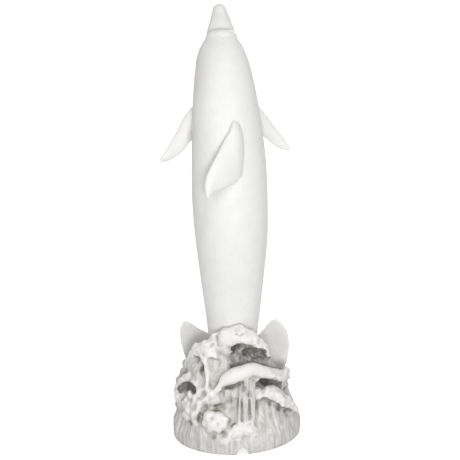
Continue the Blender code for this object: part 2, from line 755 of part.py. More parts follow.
def lumps(name, rows, group):
    """Round lumps of foam: x, y, z, radius."""
    shape = bmesh.new()
    for x, y, z, radius in rows:
        place = Matrix.Translation((x, y, z))
        bmesh.ops.create_icosphere(shape, subdivisions=2, radius=radius, matrix=place)
    mesh = bpy.data.meshes.new(name)
    shape.to_mesh(mesh)
    shape.free()
    made = bpy.data.objects.new(name, mesh)
    group.objects.link(made)
    return made


def foam(name, rows, luck, group):
    """Small lumps over a crest, its front and its lip, in loose rows."""
    rows = through(rows, 60)
    spots = []
    due = 0.0
    for before, row, out in zip(rows, rows[1:], outwards(rows)[1:]):
        due -= np.linalg.norm(row[:3] - before[:3])
        if due > 0:
            continue
        drop, radius = row[3], row[5]
        due = radius * FOAM_PITCH
        for share_out, share_up in FOAM_ROWS:
            drift = luck.uniform(-1, 1, 3) * radius * FOAM_SPREAD
            centre = row[:3] + drop * (share_out * out + share_up * UP) + drift
            spots.append((*centre, radius * luck.uniform(0.7, 1.1)))
    return lumps(name, spots, group)


def turned(name, profile, group, steps):
    """A profile of (radius, height) turned about Z. It runs down its outer side."""
    mesh = bpy.data.meshes.new(name)
    points = [(radius, 0.0, height) for radius, height in profile]
    edges = [(i, i + 1) for i in range(len(points) - 1)]
    mesh.from_pydata(points, edges, [])
    made = bpy.data.objects.new(name, mesh)
    group.objects.link(made)
    screw = made.modifiers.new("turn", "SCREW")
    screw.steps = steps
    screw.render_steps = steps
    screw.use_merge_vertices = True
    screw.merge_threshold = MERGE
    return made


def pipe(name, points, radius, group, caps=True, smoothness=6):
    """A round pipe along the points, as a curve with a bevel."""
    curve = bpy.data.curves.new(name, "CURVE")
    curve.dimensions = "3D"
    curve.bevel_depth = radius
    curve.bevel_resolution = smoothness
    curve.use_fill_caps = caps
    spline = curve.splines.new("POLY")
    spline.points.add(len(points) - 1)
    for point, place in zip(spline.points, points):
        point.co = (*place, 1.0)
    made = bpy.data.objects.new(name, curve)
    group.objects.link(made)
    return made


def as_mesh(item):
    """The evaluated item as a plain mesh object of the same name, with its seams welded."""
    bpy.context.view_layer.update()
    evaluated = item.evaluated_get(bpy.context.evaluated_depsgraph_get())
    mesh = bpy.data.meshes.new_from_object(evaluated)
    shape = bmesh.new()
    shape.from_mesh(mesh)
    bmesh.ops.remove_doubles(shape, verts=shape.verts, dist=MERGE)
    shape.to_mesh(mesh)
    shape.free()
    name, group, place = item.name, item.users_collection[0], item.matrix_world.copy()
    bpy.data.objects.remove(item)
    made = bpy.data.objects.new(name, mesh)
    made.matrix_world = place
    group.objects.link(made)
    return made


def joined(name, items, group):
    """All the meshes of the items in one object, each still a closed shape of its own."""
    shape = bmesh.new()
    for item in [as_mesh(item) for item in items]:
        item.data.transform(item.matrix_world)
        shape.from_mesh(item.data)
        bpy.data.objects.remove(item)
    mesh = bpy.data.meshes.new(name)
    shape.to_mesh(mesh)
    shape.free()
    made = bpy.data.objects.new(name, mesh)
    group.objects.link(made)
    return made


def outer_skin(item):
    """Leaves the largest closed skin only, so that a pocket shut in between the waves is filled."""
    shape = bmesh.new()
    shape.from_mesh(item.data)
    left = set(shape.verts)
    skins = []
    while left:
        reached = [left.pop()]
        skin = []
        while reached:
            vertex = reached.pop()
            skin.append(vertex)
            for edge in vertex.link_edges:
                other = edge.other_vert(vertex)
                if other in left:
                    left.remove(other)
                    reached.append(other)
        skins.append(skin)
    skins.sort(key=len)
    spare = [vertex for skin in skins[:-1] for vertex in skin]
    bmesh.ops.delete(shape, geom=spare, context="VERTS")
    shape.to_mesh(item.data)
    shape.free()


def combine(item, other, operation="DIFFERENCE"):
    other.hide_render = True
    other.display_type = "WIRE"
    boolean = item.modifiers.new(other.name, "BOOLEAN")
    boolean.operation = operation
    boolean.object = other
    boolean.solver = "EXACT"


def thinned(item, count):
    """The item with about so many triangles, spent where the form turns most."""
    faces = sum(len(face.vertices) - 2 for face in item.data.polygons)
    thin = item.modifiers.new("thin", "DECIMATE")
    thin.ratio = count / faces
    return as_mesh(item)


def dolphin_shapes(group):
    shapes = [
        trunk("body", BODY, FOREHEAD_ROUND, group),
        trunk("beak", BEAK, BEAK_ROUND, group),
        blade("dorsal_fin", FIN_LEAD, FIN_TRAIL, FIN_THICK, group),
        blade("left_flipper", LEFT_LEAD, LEFT_TRAIL, FLIPPER_THICK, group),
        blade("right_flipper", RIGHT_LEAD, RIGHT_TRAIL, FLIPPER_THICK, group),
        blade("left_fluke", LEFT_FLUKE_LEAD, LEFT_FLUKE_TRAIL, FLUKE_THICK, group),
        blade("right_fluke", RIGHT_FLUKE_LEAD, RIGHT_FLUKE_TRAIL, FLUKE_THICK, group),
        lumps("brow", [(*BROW, BROW_RADIUS)], group),
    ]
    return shapes


def pits(group):
    shape = bmesh.new()
    for x, y, z, wide, deep, high in PITS:
        turn = Matrix.Rotation(math.atan2(x, -y), 4, "Z")
        place = Matrix.Translation((x, y, z)) @ turn @ Matrix.Diagonal((wide, deep, high, 1.0))
        bmesh.ops.create_icosphere(shape, subdivisions=2, radius=1.0, matrix=place)
    mesh = bpy.data.meshes.new("pits")
    shape.to_mesh(mesh)
    shape.free()
    made = bpy.data.objects.new("pits", mesh)
    group.objects.link(made)
    remesh = made.modifiers.new("fuse", "REMESH")
    remesh.mode = "VOXEL"
    remesh.voxel_size = GRAIN
    return as_mesh(made)


def eyes(group):
    return lumps("eyes", [(side * EYE[0], EYE[1], EYE[2], EYE_RADIUS) for side in (-1, 1)], group)


def base_shapes(group):
    luck = np.random.default_rng(FOAM_SEED)
    profile = [(0.0, CORE[-1][1] + CORE_CROWN), *CORE[::-1], (0.0, 0.0)]
    core = turned("core", profile, group, CORE_STEPS)
    core.scale.y = FRONT_STRETCH
    shapes = [core, lumps("lumps", LUMPS, group)]
    for name, rows in ROLLS.items():
        shapes.append(roll(name, sized(rows), group))
    for name, rows in WAVES.items():
        rows = sized(rows, ratios=[HOLLOW])
        shapes.append(wave(name + "_wave", rows, group))
        shapes.append(foam(name + "_foam", rows, luck, group))
    return shapes


def fused(name, shapes, group, grain, smoothing):
    """The shapes as one skin, with its inner corners rounded by a few rounds of smoothing."""
    made = joined(name, shapes, group)
    remesh = made.modifiers.new("fuse", "REMESH")
    remesh.mode = "VOXEL"
    remesh.voxel_size = grain
    if smoothing:
        soften = made.modifiers.new("soften", "SMOOTH")
        soften.factor = 0.5
        soften.iterations = smoothing
    made = as_mesh(made)
    outer_skin(made)
    return made


def fade(value, low, high, margin):
    """1 between low and high, falling smoothly to 0 over the margin outside."""
    rise = np.clip((value - low) / margin + 1.0, 0.0, 1.0)
    drop = np.clip((high - value) / margin + 1.0, 0.0, 1.0)
    both = np.minimum(rise, drop)
    return both * both * (3 - 2 * both)


def carve(item):
    """Works ribs, grooves and ridges into the outward faces of the base."""
    mesh = item.data
    count = len(mesh.vertices)
    places = np.empty(count * 3)
    normals = np.empty(count * 3)
    mesh.vertices.foreach_get("co", places)
    mesh.vertices.foreach_get("normal", normals)
    places = places.reshape(-1, 3)
    normals = normals.reshape(-1, 3)
    radial = unit(places * LEVEL + 1e-9)
    facing = np.clip((normals * radial).sum(axis=1) * 1.6, 0.0, 1.0)
    bearing = np.arctan2(places[:, 0], -places[:, 1])
    height = places[:, 2] / HEIGHT
    shift = np.zeros(count)
    for start, end, low, high, pitch, depth in RIBS:
        middle = math.radians((start + end) / 2)
        away = (bearing - middle + math.pi) % (2 * math.pi) - math.pi
        reach = math.radians((end - start) / 2)
        inside = fade(away, -reach, reach, RIB_FADE[0]) * fade(height, low, high, RIB_FADE[1])
        wander = np.sin(height * 70 + bearing * 9) + np.sin(height * 31 - bearing * 17)
        phase = away * RIB_RADIUS * 2 * math.pi / pitch + RIB_WANDER * wander
        shift -= inside * depth * (0.5 - 0.5 * np.cos(phase))
    along = bearing * RIB_RADIUS
    for width, rise, line in STROKES:
        line = [(math.radians(angle) * RIB_RADIUS, level) for angle, level in line]
        shift += rise * np.exp(-(distance(along, height, line) / width) ** 2)
    places += radial * (HEIGHT * shift * facing)[:, None]
    mesh.vertices.foreach_set("co", places.ravel())
    mesh.update()


def distance(x, y, line):
    """The distance of each point from a line of straight pieces."""
    nearest = np.full(len(x), 1e9)
    for (x0, y0), (x1, y1) in zip(line, line[1:]):
        span = (x1 - x0) ** 2 + (y1 - y0) ** 2
        share = np.clip(((x - x0) * (x1 - x0) + (y - y0) * (y1 - y0)) / span, 0.0, 1.0)
        gap = np.hypot(x - x0 - share * (x1 - x0), y - y0 - share * (y1 - y0))
        nearest = np.minimum(nearest, gap)
    return nearest


def tube_line():
    """The tube's way: straight up from the base, along the body's axis and out of the beak."""
    body = [row[:3] for row in BODY if BODY[2][2] <= row[2] < BORE_START]
    foot = (body[0][0], body[0][1], TUBE_FOOT)
    straight = (body[0][0], body[0][1], TUBE_FOOT + TUBE_STRAIGHT)
    return [foot, straight, *body, *TUBE_END]


def casting(parts, cutters):
    dolphin = fused("dolphin", dolphin_shapes(cutters), cutters, GRAIN, FILLET_ROUNDS)
    dolphin = thinned(fused("statue", [dolphin, eyes(cutters)], parts, GRAIN, 0), DOLPHIN_FACES)
    base = fused("base", base_shapes(cutters), cutters, GRAIN, SOFTEN_ROUNDS)
    combine(base, pits(cutters))
    base = as_mesh(base)
    carve(base)
    base = thinned(fused("base", [base], cutters, GRAIN, 0), WAVE_FACES)
    combine(dolphin, base, "UNION")
    statue = as_mesh(dolphin)
    line = through(tube_line(), TUBE_POINTS)
    bore = [point for point in line if point[2] > BORE_START]
    outlet_axis = unit(bore[-1] - bore[-2])
    bore.append(bore[-1] + outlet_axis * BORE_OVERRUN)
    outlet = [bore[-1] - outlet_axis * (BORE_OVERRUN + OUTLET_DEPTH), bore[-1]]
    cutter_list = [
        as_mesh(pipe("bore_cutter", bore, TUBE_RADIUS + CLEARANCE, cutters)),
        as_mesh(pipe("outlet_cutter", outlet, OUTLET_RADIUS, cutters)),
        trunk("body_cutter", BODY[:-1], FOREHEAD_ROUND, cutters, WALL, 1, CUTTER_SIDES),
        base_cavity(cutters),
        notch_cutter(cutters),
        floor_cutter(cutters),
    ]
    for cutter in cutter_list:
        combine(statue, cutter)
    return statue


def base_cavity(group):
    inner = [(radius - WALL, height) for radius, height in CORE if height < CAVITY_TOP]
    inner[0] = (inner[0][0], -OVERCUT)
    crown = [(0.0, CAVITY_TOP + CAVITY_CROWN), (CAVITY_FLAT, CAVITY_TOP)]
    made = turned("base_cutter", crown + inner[::-1] + [(0.0, -OVERCUT)], group, CAVITY_STEPS)
    made.scale.y = FRONT_STRETCH
    return made


def notch_cutter(group):
    """An arch through the rim at the back, open at the bottom."""
    half = NOTCH_WIDTH / 2
    rise = np.linspace(0.0, math.pi, NOTCH_STEPS)
    arch = [(NOTCH_SIDE + half * math.cos(a), NOTCH_HEIGHT * math.sin(a)) for a in rise]
    arch = [(NOTCH_SIDE + half, -OVERCUT)] + arch + [(NOTCH_SIDE - half, -OVERCUT)]
    near, far = -BASE_RADIUS * NOTCH_REACH[0], -BASE_RADIUS * NOTCH_REACH[1]
    rings = [np.array([(x, y, z) for x, z in arch]) for y in (near, far)]
    return loft("notch_cutter", rings, group)


def floor_cutter(group):
    side = 3 * BASE_RADIUS
    corners = [(-side, -side), (side, -side), (side, side), (-side, side)]
    rings = [np.array([(x, y, z) for x, y in corners]) for z in (-side, 0.0)]
    return loft("floor_cutter", rings, group)


def water_tube(parts):
    line = through(tube_line(), TUBE_POINTS)
    last = unit(line[-1] - line[-2])
    line[-1] = line[-1] - last * OUTLET_DEPTH
    tube = as_mesh(pipe("water_tube", line, TUBE_RADIUS, parts, caps=False))
    wall = tube.modifiers.new("wall", "SOLIDIFY")
    wall.thickness = TUBE_WALL
    wall.offset = -1.0
    return tube


def hose_fitting(parts):
    """A turned hose tail: a spigot in the tube's foot, a collar and a barbed stem, bored through."""
    spigot = TUBE_RADIUS - TUBE_WALL - CLEARANCE
    collar_top = TUBE_FOOT - CLEARANCE
    outer = [
        (spigot, collar_top + SPIGOT_HEIGHT),
        (spigot, collar_top),
        (COLLAR_RADIUS, collar_top),
        (COLLAR_RADIUS, collar_top - COLLAR_HEIGHT),
    ]
    height = collar_top - COLLAR_HEIGHT
    for _ in range(BARB_COUNT):
        outer.append((BARB_CORE, height - BARB_SHOULDER[0] * BARB_PITCH))
        outer.append((BARB_RADIUS, height - BARB_SHOULDER[1] * BARB_PITCH))
        height -= BARB_PITCH
    outer.append((BARB_CORE, height))
    profile = outer + [(BARB_BORE, height), (BARB_BORE, outer[0][1]), outer[0]]
    fitting = turned("hose_fitting", profile, parts, FITTING_STEPS)
    fitting.location = (tube_line()[0][0], tube_line()[0][1], 0.0)
    return fitting


def finish(item, coat):
    item.data.materials.clear()
    item.data.materials.append(coat)
    item.data.shade_smooth()
    item.data.set_sharp_from_angle(angle=math.radians(40))


def main():
    remove_everything()
    parts = collection("dolphin_spitter")
    cutters = collection("cutters")
    finish(casting(parts, cutters), material("cast_stone", (0.86, 0.86, 0.84), 0.6))
    finish(water_tube(parts), material("clear_vinyl", (0.78, 0.80, 0.78), 0.3))
    finish(hose_fitting(parts), material("black_nylon", (0.03, 0.03, 0.03), 0.5))


main()
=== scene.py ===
"""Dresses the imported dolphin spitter: a white cast-stone dolphin leaping from breaking waves.

Metres, +Z up, in the frame of the CAD model. The dolphin's back faces -Y, towards the camera.
The tables that go through metres() are in millimetres.
"""

import json
import math

import bmesh
import bpy
import numpy as np
from mathutils import Matrix, Vector, noise
from mathutils.bvhtree import BVHTree

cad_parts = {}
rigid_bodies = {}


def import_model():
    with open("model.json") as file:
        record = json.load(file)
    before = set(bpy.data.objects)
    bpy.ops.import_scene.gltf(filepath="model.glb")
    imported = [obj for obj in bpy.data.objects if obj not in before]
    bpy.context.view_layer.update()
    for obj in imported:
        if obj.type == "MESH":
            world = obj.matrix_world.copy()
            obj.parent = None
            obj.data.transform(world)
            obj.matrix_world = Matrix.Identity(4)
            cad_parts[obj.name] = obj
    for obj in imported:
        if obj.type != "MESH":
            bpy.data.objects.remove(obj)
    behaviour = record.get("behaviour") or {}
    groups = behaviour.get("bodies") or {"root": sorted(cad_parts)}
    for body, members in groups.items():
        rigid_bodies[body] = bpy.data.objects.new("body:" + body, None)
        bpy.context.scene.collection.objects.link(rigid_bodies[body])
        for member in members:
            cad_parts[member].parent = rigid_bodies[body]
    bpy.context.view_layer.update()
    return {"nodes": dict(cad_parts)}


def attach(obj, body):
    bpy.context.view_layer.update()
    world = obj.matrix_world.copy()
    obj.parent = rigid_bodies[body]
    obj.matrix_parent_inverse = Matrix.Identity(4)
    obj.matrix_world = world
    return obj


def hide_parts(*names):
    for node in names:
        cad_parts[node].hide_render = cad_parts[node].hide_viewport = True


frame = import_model()


def metres(rows, ratio=None):
    """The table in metres. The column with the number ratio isn't a length."""
    return [
        tuple(cell if i == ratio else round(cell / 1000, 7) for i, cell in enumerate(row))
        for row in rows
    ]


# The casting
WALL = 0.009
BASE_RADIUS = 0.149
FRONT_STRETCH = 1.04
# A hair inside the built statue's own box, which the streaks could leave by a millimetre
BOX_LOW = (-0.1507, -0.1581, 0.0)
BOX_HIGH = (0.1510, 0.1567, 0.9996)

# How fine the skins are: the grain that they are fused with, rounds of smoothing, triangles
SKIN_GRAIN = 0.0017
PIT_GRAIN = 0.0025
DOLPHIN_ROUNDS = 20
WAVE_ROUNDS = 1
PIT_ROUNDS = 4
DOLPHIN_TRIANGLES = 180000
WAVE_TRIANGLES = 195000
MERGE = 0.00001
# Steps of the shapes round and along
STEPS_PER_ROW = 4
WAVE_STEPS_PER_ROW = 6
RING_SIDES = 40
ROLL_SIDES = 16
NOSE_STEPS = 8
NOSE_TIP = 0.04
CORE_STEPS = 64
CAVITY_STEPS = 32
PIPE_SMOOTHNESS = 6
TONGUE_STEPS = 40
RIDGE_STEPS = 20

# The dolphin's body, root to forehead: x, y, z, half width, half depth to the back, to the belly
BODY = metres([
    (0, 30, 105, 50, 40, 40), (0, 10, 170, 54, 46, 46), (0, 1, 245, 58, 52, 52), (2, -8, 310, 65, 59, 59),
    (4, -19, 395, 74.5, 69, 68), (6, -26, 480, 83, 79, 78), (6, -29, 565, 86.2, 85, 85),
    (7, -25, 650, 84.7, 85, 87), (6, -16, 730, 78.8, 80, 83), (4, -3, 800, 71.4, 71, 74),
    (2, 14, 860, 62, 60, 62), (1, 25, 890, 54.5, 50, 53), (2, 32, 908, 47, 42, 46),
    (2, 37, 924, 37, 33, 38),
])
FOREHEAD_ROUND = 0.022

# The beak, inside the head to its tip: x, y, z, half width, half thickness above, below
BEAK = metres([
    (1, 40, 880, 36, 24, 30), (1, 56, 922, 34, 22, 26), (1, 65, 944, 30, 20, 22),
    (1, 74, 965, 22.8, 17, 17), (0, 80, 983, 16.5, 13, 13),
])
BEAK_ROUND = 0.0175

# Blades: leading edge and trailing edge, root to tip, as x, y, z
BLADE_SIDES = 24
BLADE_EDGE = 0.0022
BLADE_FRONT = 0.75
BLADE_FULLNESS = 0.6
BLADE_RIM = 8
FIN_LEAD = metres([
    (16, -50, 757), (22, -98, 752), (-2, -117, 716), (-18, -132, 689), (-35, -143, 661), (-46, -149, 638),
    (-49, -152, 619), (-46, -153, 598),
])
FIN_TRAIL = metres([
    (22, -60, 644), (32, -110, 634), (17, -122, 619), (0, -132, 613), (-15, -140, 609), (-27, -147, 604),
    (-35, -151, 597), (-40, -153, 590),
])
FIN_THICK = (0.036, 0.026, 0.018, 0.013)
LEFT_LEAD = metres([
    (-36, 8, 800), (-72, 12, 775), (-90, 14, 754), (-110, 17, 720), (-134, 20, 682), (-152, 22, 657),
])
LEFT_TRAIL = metres([
    (-40, 16, 700), (-76, 18, 696), (-91, 20, 677), (-111, 22, 660), (-134, 22, 650), (-149, 22, 648),
])
RIGHT_LEAD = metres([
    (48, 34, 804), (76, 40, 774), (93, 44, 752), (115, 50, 720), (138, 56, 689), (151, 60, 667),
])
RIGHT_TRAIL = metres([
    (45, 40, 707), (86, 46, 697), (99, 50, 684), (115, 54, 670), (134, 58, 660), (149, 60, 657),
])
FLIPPER_THICK = (0.024, 0.018, 0.013, 0.009)
LEFT_FLUKE_LEAD = metres([
    (10, 58, 100), (-60, 62, 112), (-100, 56, 135), (-115, 48, 166), (-122, 41, 195), (-126, 33, 225),
    (-124, 26, 250), (-117, 20, 268),
])
LEFT_FLUKE_TRAIL = metres([
    (10, 74, 190), (-25, 72, 208), (-44, 62, 220), (-58, 52, 231), (-74, 42, 243), (-89, 31, 257),
    (-101, 23, 268), (-110, 19, 272),
])
RIGHT_FLUKE_LEAD = metres([
    (-10, 58, 100), (62, 62, 104), (104, 56, 118), (123, 48, 141), (132, 42, 176), (133, 34, 208),
    (127, 26, 238), (112, 19, 262),
])
RIGHT_FLUKE_TRAIL = metres([
    (-10, 74, 190), (24, 72, 202), (44, 62, 212), (62, 52, 224), (73, 43, 239), (83, 32, 254),
    (92, 23, 264), (103, 18, 267),
])
FLUKE_THICK = (0.030, 0.014, 0.009, 0.008)

# The base inside the waves, rim to top: how much wider than the base, then the height
CORE = metres([
    (0, 0), (2, 10), (2, 30), (-6, 52), (-17, 80), (-30, 110), (-44, 140), (-62, 170), (-82, 195),
    (-105, 212), (-125, 220),
])
CORE = [(BASE_RADIUS + wider, height) for wider, height in CORE]
CORE_CROWN = 0.002
CAVITY_TOP = 0.165
CAVITY_CROWN = 0.004
CAVITY_FLAT = 0.03
OVERCUT = 0.01

# Breaking waves, from one end of the crest to the other: x, y, z, drop of the lip, hollow as a
# share, foam radius
HOLLOW = 4
WAVES = {
    "top": [
        (-55, -62, 247, 12, 0.2, 5), (-46, -68, 258, 18, 0.4, 6), (-30, -74, 270, 28, 0.6, 5),
        (-10, -79, 276, 34, 0.9, 5), (12, -82, 278, 34, 1.0, 6), (34, -77, 268, 30, 1.0, 8),
        (57, -67, 249, 24, 1.0, 7), (75, -57, 224, 18, 0.8, 6), (85, -50, 200, 10, 0.4, 4),
    ],
    "upper_left": [
        (-105, -30, 200, 10, 0.3, 4), (-94, -42, 220, 18, 0.7, 6), (-80, -56, 237, 26, 0.8, 7),
        (-64, -68, 243, 34, 0.6, 8), (-50, -78, 236, 26, 0.3, 6), (-41, -84, 222, 12, 0.1, 4),
    ],
    "middle": [
        (-48, -118, 134, 6, 0.3, 3), (-36, -120, 154, 12, 0.7, 3), (-20, -119, 170, 16, 0.7, 3),
        (0, -117, 182, 18, 0.3, 3), (22, -112, 190, 20, 0.1, 3), (48, -103, 192, 22, 0.3, 4),
        (70, -95, 184, 22, 0.9, 5), (94, -80, 166, 18, 1.0, 5), (112, -58, 154, 12, 0.8, 4),
    ],
    "lower_right": [
        (60, -108, 130, 8, 0.2, 4), (72, -106, 136, 14, 0.4, 5), (84, -104, 134, 18, 0.6, 7),
        (96, -102, 125, 22, 0.7, 8), (116, -86, 106, 22, 0.6, 8), (132, -64, 86, 18, 0.6, 7),
        (139, -50, 66, 10, 0.4, 6),
    ],
    "left_hood": [
        (-84, -78, 166, 10, 0.6, 3), (-100, -65, 172, 16, 1.0, 4), (-117, -52, 162, 18, 1.0, 4),
        (-131, -38, 144, 16, 1.0, 4), (-138, -30, 122, 14, 0.8, 4), (-138, -38, 102, 8, 0.4, 4),
    ],
    "right_curl": [
        (108, -66, 150, 6, 0.3, 4), (118, -44, 158, 12, 0.7, 5), (123, -18, 158, 14, 0.8, 5),
        (120, 12, 150, 14, 0.6, 5), (112, 40, 136, 8, 0.3, 4),
    ],
    "left_side": [
        (-126, -34, 88, 8, 0.4, 5), (-120, 0, 98, 16, 0.8, 7), (-112, 38, 106, 20, 0.8, 8),
        (-96, 74, 98, 14, 0.4, 6),
    ],
    "front_top": [
        (-96, 58, 146, 10, 0.4, 5), (-68, 84, 166, 24, 0.8, 8), (-24, 100, 178, 30, 1.0, 9),
        (22, 100, 172, 28, 1.0, 9), (62, 88, 148, 18, 0.8, 7), (88, 70, 126, 10, 0.4, 5),
    ],
    "front_right": [
        (126, -4, 84, 10, 0.4, 5), (116, 46, 104, 20, 0.8, 7), (98, 84, 112, 26, 0.9, 9),
        (70, 114, 104, 24, 0.9, 8), (36, 130, 84, 12, 0.4, 5),
    ],
    "front_left": [
        (-122, 74, 66, 8, 0.4, 5), (-92, 104, 88, 22, 0.8, 8), (-52, 126, 96, 26, 0.9, 9),
        (-10, 136, 82, 16, 0.6, 7), (10, 140, 66, 8, 0.3, 5),
    ],
    "bottom": [
        (-28, -144, 38, 8, 0.4, 5), (-16, -146, 58, 18, 0.7, 6), (6, -147, 70, 24, 0.7, 6),
        (28, -146, 68, 22, 0.7, 6), (44, -142, 54, 10, 0.4, 5),
    ],
    "front_low": [
        (20, 146, 44, 6, 0.3, 5), (56, 136, 60, 16, 0.6, 7), (94, 112, 64, 18, 0.6, 7),
        (124, 80, 52, 10, 0.3, 5),
    ],
}
WAVES = {name: metres(rows, HOLLOW) for name, rows in WAVES.items()}
# A wave's section as shares of its drop, outwards and upwards: back and lip, then the face below
WAVE_BACK = [
    (-1.60, -2.60), (-1.25, -1.10), (-0.80, -0.28), (-0.35, 0.02), (0.02, 0.06), (0.27, -0.12),
    (0.38, -0.45), (0.34, -0.82), (0.20, -1.00),
]
# The same, with a third number: how far the hollow pulls that point back
WAVE_FACE = [
    (0.16, -0.96, 0.16), (0.18, -0.74, 0.38), (0.20, -0.86, 0.68), (0.20, -1.20, 0.86), (0.20, -1.75, 0.70),
    (0.22, -2.35, 0.36), (0.25, -3.20, 0.00),
]

# Rounded rolls of water, along their middles: x, y, z, radius
ROLLS = {
    "middle_tongue": [
        (-45, -122, 148, 3.6), (-35, -120, 156, 7.2), (-24, -116, 165, 13.9), (-10, -113, 171, 18.9),
        (7, -112, 177, 18.9), (23, -108, 182, 17.1), (39, -101, 184, 16.6), (55, -94, 178, 16.2),
        (70, -87, 171, 15.3), (86, -74, 163, 13.9), (100, -57, 156, 12.1), (113, -38, 149, 8.1),
    ],
    "valley": [
        (-48, -69, 201, 13.5), (-44, -73, 182, 18), (-44, -83, 167, 18.9), (-46, -96, 152, 15.8),
    ],
    "valley_right": [
        (-32, -74, 218, 11), (-23, -73, 206, 13.5), (-21, -75, 187, 18), (-24, -85, 171, 18),
        (-30, -102, 153, 15.8),
    ],
    "column_back": [
        (35, -101, 160, 13.9), (31, -109, 139, 14.9), (28, -117, 117, 14.9), (27, -123, 96, 14.4),
        (25, -131, 67, 13),
    ],
    "right_curl": [
        (109, -47, 160, 3.2), (119, -22, 154, 3.4), (126, -7, 141, 3.4), (124, -32, 139, 3.4),
        (114, -58, 142, 3.4), (99, -78, 147, 3.4), (87, -91, 151, 2.2),
    ],
    "right_lobe": [
        (66, -103, 135, 9), (77, -96, 133, 12.6), (91, -87, 125, 13), (105, -80, 111, 10.8),
        (118, -68, 94, 9.5), (131, -49, 74, 8.6), (141, -30, 54, 6.3), (143, -23, 41, 3.6),
    ],
    "left_ridge": [
        (-66, -80, 198, 7.6), (-63, -91, 187, 5.6), (-61, -101, 173, 4.8), (-62, -109, 158, 4.8),
        (-65, -113, 146, 5.9),
    ],
    "left_arch": [
        (-144, 60, 67, 5.4), (-144, 60, 85, 5.4), (-139, 60, 101, 5.9), (-126, -29, 138, 6),
        (-112, -55, 154, 7), (-98, -75, 157, 6.8), (-83, -91, 151, 5.6), (-72, -104, 142, 4.9),
    ],
    "small_lip": [
        (-38, -78, 232, 6), (-26, -83, 227, 8.5), (-12, -83, 222, 8), (1, -79, 218, 4),
    ],
    "left_swell": [
        (-110, -16, 176, 15), (-94, -44, 184, 17), (-82, -64, 177, 17), (-77, -80, 161, 15),
        (-73, -92, 143, 11),
    ],
    "left_shoulder": [
        (-122, 60, 122, 9), (-108, -12, 159, 14.9), (-91, -36, 175, 15.8), (-78, -56, 183, 11.2),
    ],
    "left_under": [
        (-142, 60, 54, 6.7), (-118, -61, 89, 9), (-94, -90, 99, 9.9), (-70, -107, 109, 9),
        (-52, -115, 116, 9.9), (-33, -119, 121, 9.9),
    ],
    "column_1": [
        (32, -115, 164, 4.9), (28, -125, 144, 4.9), (26, -133, 123, 4.7), (24, -139, 102, 4.5),
        (23, -144, 75, 4),
    ],
    "column_2": [
        (17, -117, 161, 5.4), (13, -126, 141, 5.4), (10, -133, 119, 4.9), (8, -139, 97, 4.5),
        (7, -143, 77, 3.6),
    ],
    "column_3": [
        (45, -110, 159, 4.5), (43, -119, 139, 4), (42, -128, 121, 4), (40, -133, 99, 3.8),
        (39, -140, 70, 3.4),
    ],
    "column_4": [
        (51, -107, 156, 4.9), (53, -111, 138, 4.9), (51, -121, 118, 4.5),
    ],
}
ROLLS = {name: metres(rows) for name, rows in ROLLS.items()}

# Lumps of foam: x, y, z, radius
LUMPS = metres([
    (-14, -79, 256, 24), (-44, -102, 150, 12), (-76, -96, 128, 14), (-106, -72, 113, 11),
    (-97, -92, 100, 11), (-88, -88, 150, 8), (-25, -77, 250, 13.9), (-4, -86, 247, 10.8),
    (5, -75, 268, 13.9), (16, -71, 275, 10.8), (27, -72, 270, 9.5), (12, -83, 253, 11.2),
    (23, -82, 257, 9.9), (27, -84, 250, 6.7), (36, -72, 260, 10.8), (47, -69, 255, 10.3),
    (38, -81, 250, 7.6), (55, -70, 244, 9), (62, -70, 233, 8.1), (69, -70, 222, 7.6), (75, -67, 212, 6.7),
    (80, -67, 203, 4.5), (-42, -67, 257, 8.1), (-35, -81, 241, 8.1), (-21, -91, 241, 6.7),
    (66, -64, 240, 5.4), (74, -62, 227, 5.4), (80, -60, 214, 4.5), (50, -82, 241, 4.9), (58, -83, 229, 4.5),
    (44, -69, 265, 5.4), (-80, -42, 221, 11.7), (-65, -59, 229, 13), (-69, -66, 215, 12.6),
    (-68, -76, 204, 8.6), (-54, -67, 236, 9.5), (-92, -28, 214, 6.7), (-50, -77, 227, 7.2),
    (-59, -77, 218, 8.1), (-130, -39, 106, 9.5), (-103, -83, 125, 9.9), (-83, -100, 138, 8.1),
    (-93, -99, 124, 6.7), (-73, -108, 145, 5.4), (-54, -116, 135, 12.6), (-44, -123, 147, 5.4),
    (-116, -75, 109, 6.3), (-122, -66, 101, 4.5), (-65, -116, 126, 6.3), (-108, -87, 105, 5.9),
    (-95, -99, 114, 5.4), (-84, -109, 112, 5.9), (-74, -115, 121, 4.5), (-115, -81, 96, 4.9),
    (-105, -87, 88, 13.9), (-93, -104, 81, 13.5), (-109, -89, 69, 10.8), (-86, -109, 98, 8.1),
    (-116, -79, 76, 9), (-95, -107, 66, 8.1), (-59, -123, 85, 17.5), (-41, -132, 82, 17.1),
    (-53, -134, 70, 18), (-32, -141, 70, 13), (-69, -126, 70, 11.2), (-42, -144, 61, 9.9),
    (-62, -137, 58, 8.1), (-24, -141, 82, 7.6), (-1, -144, 60, 12.6), (15, -145, 63, 11.2),
    (30, -145, 59, 7.6), (41, -143, 57, 4.5), (-10, -143, 48, 10.8), (3, -144, 46, 11.2),
    (18, -147, 51, 6.7), (119, -25, 145, 6.7), (57, -119, 125, 4.5), (67, -115, 125, 4.5),
    (78, -113, 118, 4.5), (92, -104, 109, 4.9), (105, -94, 98, 5.4), (120, -67, 97, 7.2),
    (124, -73, 82, 5.9), (136, -46, 72, 6.3), (141, -39, 56, 4.9), (130, -68, 67, 4.5), (97, -95, 116, 7.6),
    (85, -95, 133, 10.3),
])
# Foam along the crests, in shares of its radius and of the lip's drop
FOAM_STEPS = 60
FOAM_PITCH = 1.5
FOAM_ROWS = [(0.00, -0.10), (0.22, -0.40), (0.20, -0.80)]
FOAM_SPREAD = 0.4
FOAM_SIZES = (0.7, 1.1)
FOAM_SEED = 7
